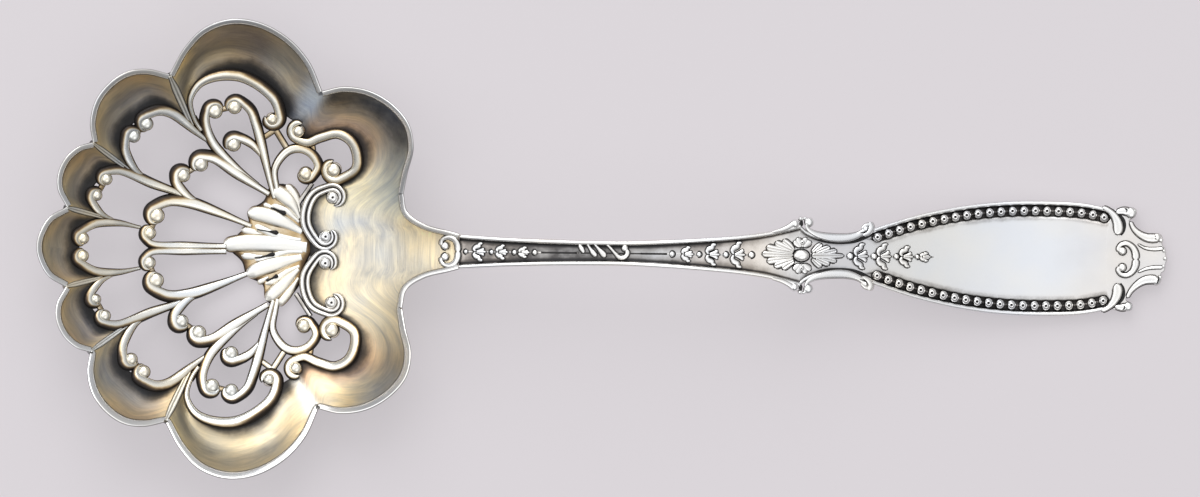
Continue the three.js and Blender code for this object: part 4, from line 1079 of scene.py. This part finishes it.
def ornaments():
    for name, (line, channel, pearls, husks) in HUSK_RUNS.items():
        piece = Piece(name + "s", [name + "_run"])
        groove(piece, *line, 0.16, 0.03, 0.3)
        if channel:
            groove(piece, *channel, 0.24, 0.06, 0.85)
        for px, r in pearls:
            ball(piece, at(px, 0), r * PX, handle_floor, 0.5, sides=16, skirt=0.15, lift=-0.04)
        for px, reach in husks:
            husk(piece, px, reach)
        piece.make(struck)

    piece = Piece("stem_leaf_scroll_strokes", ["stem_leaf_scroll"])
    groove(piece, 581, 655, 0.2, 0.06, 0.8)
    for route, widths in LEAF_STROKES:
        stroke(piece, route, widths, LEAF_HEIGHT)
    ball(piece, at(624.8, 5.2), 3.3 * PX, lambda x, y: handle_floor(*at(625, 0)), 0.58, sides=18, skirt=0.12)
    piece.make(struck)

    curls("neck_scroll_curls", "neck_scroll", NECK_CURL, (6.2, 6.2, 5.8, 5.0, 4.4, 4.0, 4.4), 0.6,
          lambda x, y: dish_top(x, y) - 0.05, (445.2, 5.4), 3.9, 0.68, 0.12)


# The rosette from the photograph: each blade's line and its widths
ROSETTE = [
    ([(794, 248.3), (788.5, 242.6), (782.8, 238.6)], (3.2, 6.2, 6.8)),
    ([(793.5, 249.2), (783.5, 244.6), (775.2, 241)], (3.2, 6.4, 7.2)),
    ([(793, 250.6), (778, 247.8), (766.6, 245.6)], (3.2, 6.4, 7.6)),
    ([(794, 259.6), (788, 263), (782.6, 266.8)], (3.2, 6.2, 6.8)),
    ([(793.5, 257.8), (783.5, 261.4), (774.6, 264.6)], (3.2, 6.4, 7.2)),
    ([(793, 256), (778, 258), (767.4, 259.6)], (3.2, 6.4, 7.6)),
    ([(793, 253.2), (776, 252.6), (762.4, 252.2)], (3.2, 6.2, 7.6)),
    ([(812, 250), (817, 245.4), (821.6, 242)], (3.6, 5.8, 6.2)),
    ([(816, 250.6), (823.4, 247.2), (829.6, 244.8)], (3.6, 5.8, 6.2)),
    ([(822, 251.4), (830, 249.6), (836.4, 248.2)], (3.6, 5.4, 5.6)),
    ([(812, 257), (817, 261.2), (821.4, 264.4)], (3.6, 5.8, 6.2)),
    ([(816, 256.4), (823.4, 259.6), (829.4, 262)], (3.6, 5.8, 6.2)),
    ([(822, 255.4), (830, 257.2), (836.2, 258.8)], (3.6, 5.4, 5.6)),
    ([(812, 253.4), (828, 253.4), (843.6, 253.3)], (6.6, 7.4, 3)),
]
# The lobes of the floret above its middle, whose mirror image lies below it, then both florets' pearls
FLORETS = [
    ([(800, 245), (796.4, 241.4), (793.4, 239.8)], (4.4, 6.6, 7)),
    ([(801, 245), (799, 239.6), (797.4, 236)], (3.6, 6.2, 7)),
    ([(802, 245), (804.6, 239.6), (806, 235.8)], (3.6, 6.2, 7)),
    ([(803.5, 245), (807.8, 241.4), (811, 239.6)], (4.4, 6.6, 7)),
]
PEARLS = [(802, 240.6), (801.6, 266.2)]
ROSETTE_MIDDLE = 253.5


def rosette():
    piece = Piece("rosette_petals", ["rosette"])
    for route, widths in ROSETTE:
        blade = [(px, ROSETTE_MIDDLE - py) for px, py in route]
        stroke(piece, blade, widths, LEAF_HEIGHT, profile=VEINED, darkness=0.62, outline=0.12)
    for side, _ in SIDES:
        for route, widths in FLORETS:
            stroke(piece, [(px, side * (ROSETTE_MIDDLE - py)) for px, py in route], widths, 0.46, darkness=0.75)
    for px, py in PEARLS:
        ball(piece, at(px, ROSETTE_MIDDLE - py), 2.7 * PX, handle_floor, 0.62, sides=18, skirt=0.1, reflection_pit=0.1)
    place = at(801.2, 0)
    # A dark ring round the boss's foot: painted shade
    ring = [(0.4, 0.42, 1), (1.06, 0.42, 1), (1.12, 0.36, 1), (1.14, 0, 1)]
    turned(piece, place, ring, float(handle_floor(place[0])), 32, squash=0.78)
    ball(piece, place, 8.0 * PX, handle_floor, 0.95, sides=32, low=0.55, squash=0.72)
    piece.make(struck)


SHOULDER_SWEEP = [(805.5, 31), (808, 26.5), (814.5, 22.2), (824, 19.4), (837, 18.0), (850, 18.8), (859, 21.8),
                  (865.5, 26.5)]
SHOULDER_SHADE = [(804, 24.5), (812, 18.5), (824, 14.4), (838, 13), (852, 14), (863, 17.6), (872, 22)]
COMMA = [(1103.6, 51.8), (1109.5, 49), (1115.6, 42.6), (1119, 35.4), (1119.4, 29.4), (1117.6, 25)]
COMMA_SHADE = [(1112, 50.4), (1119.4, 44), (1124.6, 37), (1125, 29), (1122.4, 24)]


def shoulders():
    for side, label in SIDES:
        piece = Piece(f"shoulder_scroll_{label}_sweep", [f"shoulder_scroll_{label}"])
        tall(piece, side, SHOULDER_SWEEP, (3.4, 5.4, 7.6, 9.2, 9.8, 9.2, 7.4, 5.6), 2.04)
        shade(piece, flip([(801, 35), (800.8, 31), (800.6, 27.5)], side), (2.6, 4.4, 1.0), lift=0.22)
        shade(piece, flip(SHOULDER_SHADE, side), (2.2, 2.6, 2.6, 2.4, 2.6, 3.2, 2.4))
        for px, v, r, h in ((808.4, 33.4, 5.0, 2.15), (804.4, 37.2, 2.2, 1.98)):
            ball(piece, at(px, v * side), r * PX, handle_under, h, low=0.78, dark=0.5)
        tall(piece, side, [(861.5, 27.5), (866, 31), (871.5, 32.6)], (3.4, 4.6, 4.0), 2.06)
        tall(piece, side, [(863, 20.6), (869.2, 24.4), (871.4, 29.6), (869.6, 34.4)], (3.6, 6.2, 6.8, 5.6), 2.14)
        ball(piece, at(865.4, 27.4 * side), 3.4 * PX, lambda x, y: handle_under(*at(865, 0)), 2.12, low=0.85)
        shade(piece, flip([(860.5, 23.4), (866, 24.8), (868.2, 28.8)], side), (1.0, 1.8, 0.8), handle_under, 2.16)
        piece.make(struck)

        piece = Piece(f"comma_leaf_{label}_stroke", [f"comma_leaf_{label}"])
        shade(piece, flip(COMMA_SHADE, side), (1.6, 4.6, 5.2, 3.4, 1.4), lift=0.06)
        stroke(piece, flip(COMMA, side), (4.6, 5.0, 7.4, 9.4, 10.6, 9.0), 0.62, lean=side * 0.2)
        piece.make(struck)


# The crest's outline, its arms as (route, widths, height), its balls as (place, radius, height) and its shades as
# (route, widths)
CREST = [
    (1106, 14), (1107.5, 30), (1111, 42), (1113.6, 49.6), (1119, 50.4), (1127, 52.4), (1133, 52.2), (1137.4, 49.6),
    (1137.6, 45.4), (1134.6, 41.6), (1130.6, 38.8), (1132.6, 36), (1136.6, 30.6), (1142.2, 26), (1148, 24),
    (1153.4, 25.2), (1157.6, 26.8), (1162.4, 25.2), (1164.4, 20.6), (1163.8, 16), (1167, 11), (1167.6, 5.4),
    (1168.9, 1), (1167.4, -4.4), (1166.4, -11), (1163, -14), (1163.6, -19.8), (1160.8, -24.8), (1157.4, -26),
    (1153.2, -24.8), (1145.2, -24), (1137.2, -27.6), (1131.4, -35.6), (1128.2, -40.6), (1133, -43.4),
    (1134.6, -47.2), (1131, -51.2), (1124.6, -52), (1117, -51.4), (1113, -49.4), (1111, -42), (1107.5, -30),
    (1106, -14),
]
CREST_ARMS = [
    ([(1117, 47), (1124, 48.4), (1131.6, 47)], (5, 8, 9.6), 0.56),
    ([
        (1131.4, 37.6), (1134.8, 30.8), (1141, 25.2), (1148.6, 21.8), (1155.6, 21.4), (1161, 22),
    ], (3.6, 4.8, 6.4, 8, 9, 8), 0.5),
    ([(1139.6, 15), (1147, 11.4), (1156, 10.6), (1164.4, 11.4)], (1.6, 2.6, 3.4, 3.2), 0.26),
    ([(1117, -47.6), (1123, -48.4), (1129.4, -47.4)], (4.6, 7.2, 8.6), 0.56),
    ([
        (1129, -38.2), (1132.8, -31.4), (1138.6, -25.4), (1146, -21), (1153.6, -19.8), (1159.6, -20.6),
    ], (3.6, 4.8, 6.4, 8, 9.2, 8.2), 0.5),
    ([(1140, -12.6), (1148, -9.2), (1156, -7.8), (1164, -7.6)], (1.6, 2.6, 3.4, 3.2), 0.26),
]
CREST_BALLS = [
    (1131.8, 46.6, 5.6, 0.66), (1135.2, 48.6, 2.6, 0.52), (1158.2, 22.4, 4.2, 0.58), (1162.4, 19.4, 2.4, 0.46),
    (1130, -47.2, 4.8, 0.62), (1132.4, -45.4, 2.2, 0.5), (1158.4, -21.6, 4, 0.56), (1161.6, -17.8, 2.4, 0.46),
    (1165.4, 9, 1.8, 0.36), (1166.8, 1.2, 2, 0.38), (1165.2, -6.4, 1.8, 0.36),
]
CREST_SHADES = [
    ([(1125, 51), (1127.6, 49.8), (1127.4, 47.2)], (0.8, 2, 0.8)),
    ([(1155.6, 24.4), (1157.6, 22.6), (1156.6, 20.2)], (0.8, 2, 0.8)),
    ([(1124.6, -50.6), (1126.6, -48.6), (1126, -46.2)], (0.8, 2, 0.8)),
    ([(1158.4, -24.4), (1159.8, -21), (1160.6, -16)], (0.8, 2, 0.8)),
]


def crest():
    ground = Piece("crest_ground", ["crest"])
    ring = curve([at(*p) for p in CREST + CREST[:1]], 5)[:-1]
    step = np.roll(ring, -1, axis=0) - np.roll(ring, 1, axis=0)
    inward = np.column_stack([step[:, 1], -step[:, 0]])
    inward /= np.linalg.norm(inward, axis=1)[:, None]
    x = at(1110, 0)[0]
    top = float(handle_floor(x) - handle_under(x)) + 0.004
    levels = [(0.3, 0.02, 0.05), (0.16, 0.05, 0.05), (0.03, 0.3, 0.1), (0, 0.6, 0.12), (0, 1.1, 0.12),
              (0.03, top - 0.08, 0.1), (0.09, top - 0.015, 0.03), (0.16, top, 0), (0.3, top, 0)]
    places, soot = [], []
    for inset, h, s in levels:
        line = ring + inward * inset
        places.append(np.column_stack([line, handle_under(line[:, 0]) + h]))
        soot += [s] * len(ring)
    n, m = len(ring), len(levels)
    caps = [tuple(range(n))[::-1], tuple(range((m - 1) * n, m * n))]
    ground.add(np.array(places), ring_faces(m, n) + caps, soot, (0.9, 0.88, 0.87))
    ground.make(plate)

    piece = Piece("crest_relief", ["crest"])
    for route, widths, height in CREST_ARMS:
        stroke(piece, route, widths, height, darkness=0.8, outline=0.09)
    for px, v, r, h in CREST_BALLS:
        ball(piece, at(px, v), r * PX, handle_floor, h + 0.1, sides=18, low=0.5, lift=-0.1)
    for route, widths in CREST_SHADES:
        shade(piece, route, widths, lambda x, y: handle_floor(x) + 0.5, 0.06)
    piece.make(struck)


# Camera, floor and light

LENS, SENSOR, CAMERA_LIFT = 600.0, 36.0, 0.008
PAPER, PAPER_SIZE, PAPER_LOW, PAPER_GLOW = (0.69, 0.655, 0.682, 1), 6.0, -0.00015, 0.62
# The studio's brightness from below to above
SKY = [(0.0, 0.42), (0.25, 0.34), (0.55, 0.5), (0.8, 1.0), (0.93, 1.2), (0.98, 1.15), (1.0, 0.95)]
LAMPS = (("key", (-0.1, 0.75, 0.75), (0.04, 0, 0), 0.9, 5.0), ("side", (-0.75, 0.1, 0.8), (0.0, 0, 0), 0.9, 1.5),
         ("fill", (0.3, -0.6, 1.1), (0.04, 0, 0), 0.8, 1.0))


def placed(name, data):
    made = bpy.data.objects.new(name, data)
    bpy.context.scene.collection.objects.link(made)
    return made


def set_camera():
    scene = bpy.context.scene
    scene.view_settings.view_transform = "Standard"
    scene.camera = placed("camera", bpy.data.cameras.new("camera"))
    view = scene.camera.data
    view.sensor_width, view.lens, view.clip_start, view.clip_end = SENSOR, LENS, 0.1, 20.0
    u, v = PHOTO_MIDDLE[0] - SEAT, PHOTO_MIDDLE[1] - AXIS
    x = (u * math.cos(ROLL) + v * math.sin(ROLL)) * PX * MM
    y = (u * math.sin(ROLL) - v * math.cos(ROLL)) * PX * MM
    scene.camera.location = (x, y, PHOTO_WIDTH * PX * MM * LENS / SENSOR + CAMERA_LIFT)
    scene.camera.rotation_euler = (0, 0, ROLL)


def lay_floor():
    mesh = bpy.data.meshes.new("floor")
    corners = [(x * PAPER_SIZE, y * PAPER_SIZE, PAPER_LOW) for x, y in ((-1, -1), (1, -1), (1, 1), (-1, 1))]
    mesh.from_pydata(corners, [], [(0, 1, 2, 3)])
    sheet = placed("floor", mesh)
    material = bpy.data.materials.new("paper")
    tree = Tree(material)
    looks = {"Base Color": PAPER, "Roughness": 0.9, "Specular IOR Level": 0.1}
    shader = tree.link(tree.nodes["Principled BSDF"], looks)
    # Most of what the camera and the metal see of the paper is its own plain tone, so only a faint shadow is left
    path = tree.node("LightPath").outputs
    rays = path["Is Camera Ray"]
    for more in ("Is Glossy Ray", "Is Transmission Ray"):
        rays = tree.math("MAXIMUM", rays, path[more])
    glow = tree.node("Emission", {"Color": PAPER})
    blend_of = {0: tree.math("MULTIPLY", rays, PAPER_GLOW), 1: shader.outputs[0], 2: glow.outputs[0]}
    tree.link(tree.nodes["Material Output"], {"Surface": tree.node("MixShader", blend_of).outputs[0]})
    mesh.materials.append(material)


def light_studio():
    world = bpy.data.worlds.new("studio")
    bpy.context.scene.world = world
    tree = Tree(world)
    split = tree.node("SeparateXYZ", {0: tree.node("TexCoord").outputs["Generated"]}).outputs
    sky = tree.ramp(split["Z"], [(place, (k, k, k * (1.01 if 0 < place < 1 else 1))) for place, k in SKY])
    # The studio is brighter behind the spoon's right side than in front of its left one
    lit = tree.product(sky, tree.math("MULTIPLY_ADD", split["Y"], 0.4, 1.12))
    tree.link(tree.nodes["Background"], {"Color": lit, "Strength": 0.8})
    for name, place, aim, size, power in LAMPS:
        light = bpy.data.lights.new(name, "AREA")
        light.shape, light.size, light.energy = "DISK", size, power
        lamp = placed(name, light)
        lamp.location = place
        lamp.rotation_mode = "QUATERNION"
        lamp.rotation_quaternion = (Vector(aim) - Vector(place)).to_track_quat("-Z", "Y")


set_camera()
lay_floor()
light_studio()
pierced_work()
scrolls()
dish()
rim()
palmette()
bars()
bead_rows()
ornaments()
rosette()
shoulders()
curls("end_scroll_curls", "end_scroll", END_CURL, (7.4, 7.2, 6.4, 5.4, 4.8, 4.4, 4.6), 0.62, handle_floor,
      (1123.8, 8.2), 4.0, 0.72, 0.1)
crest()
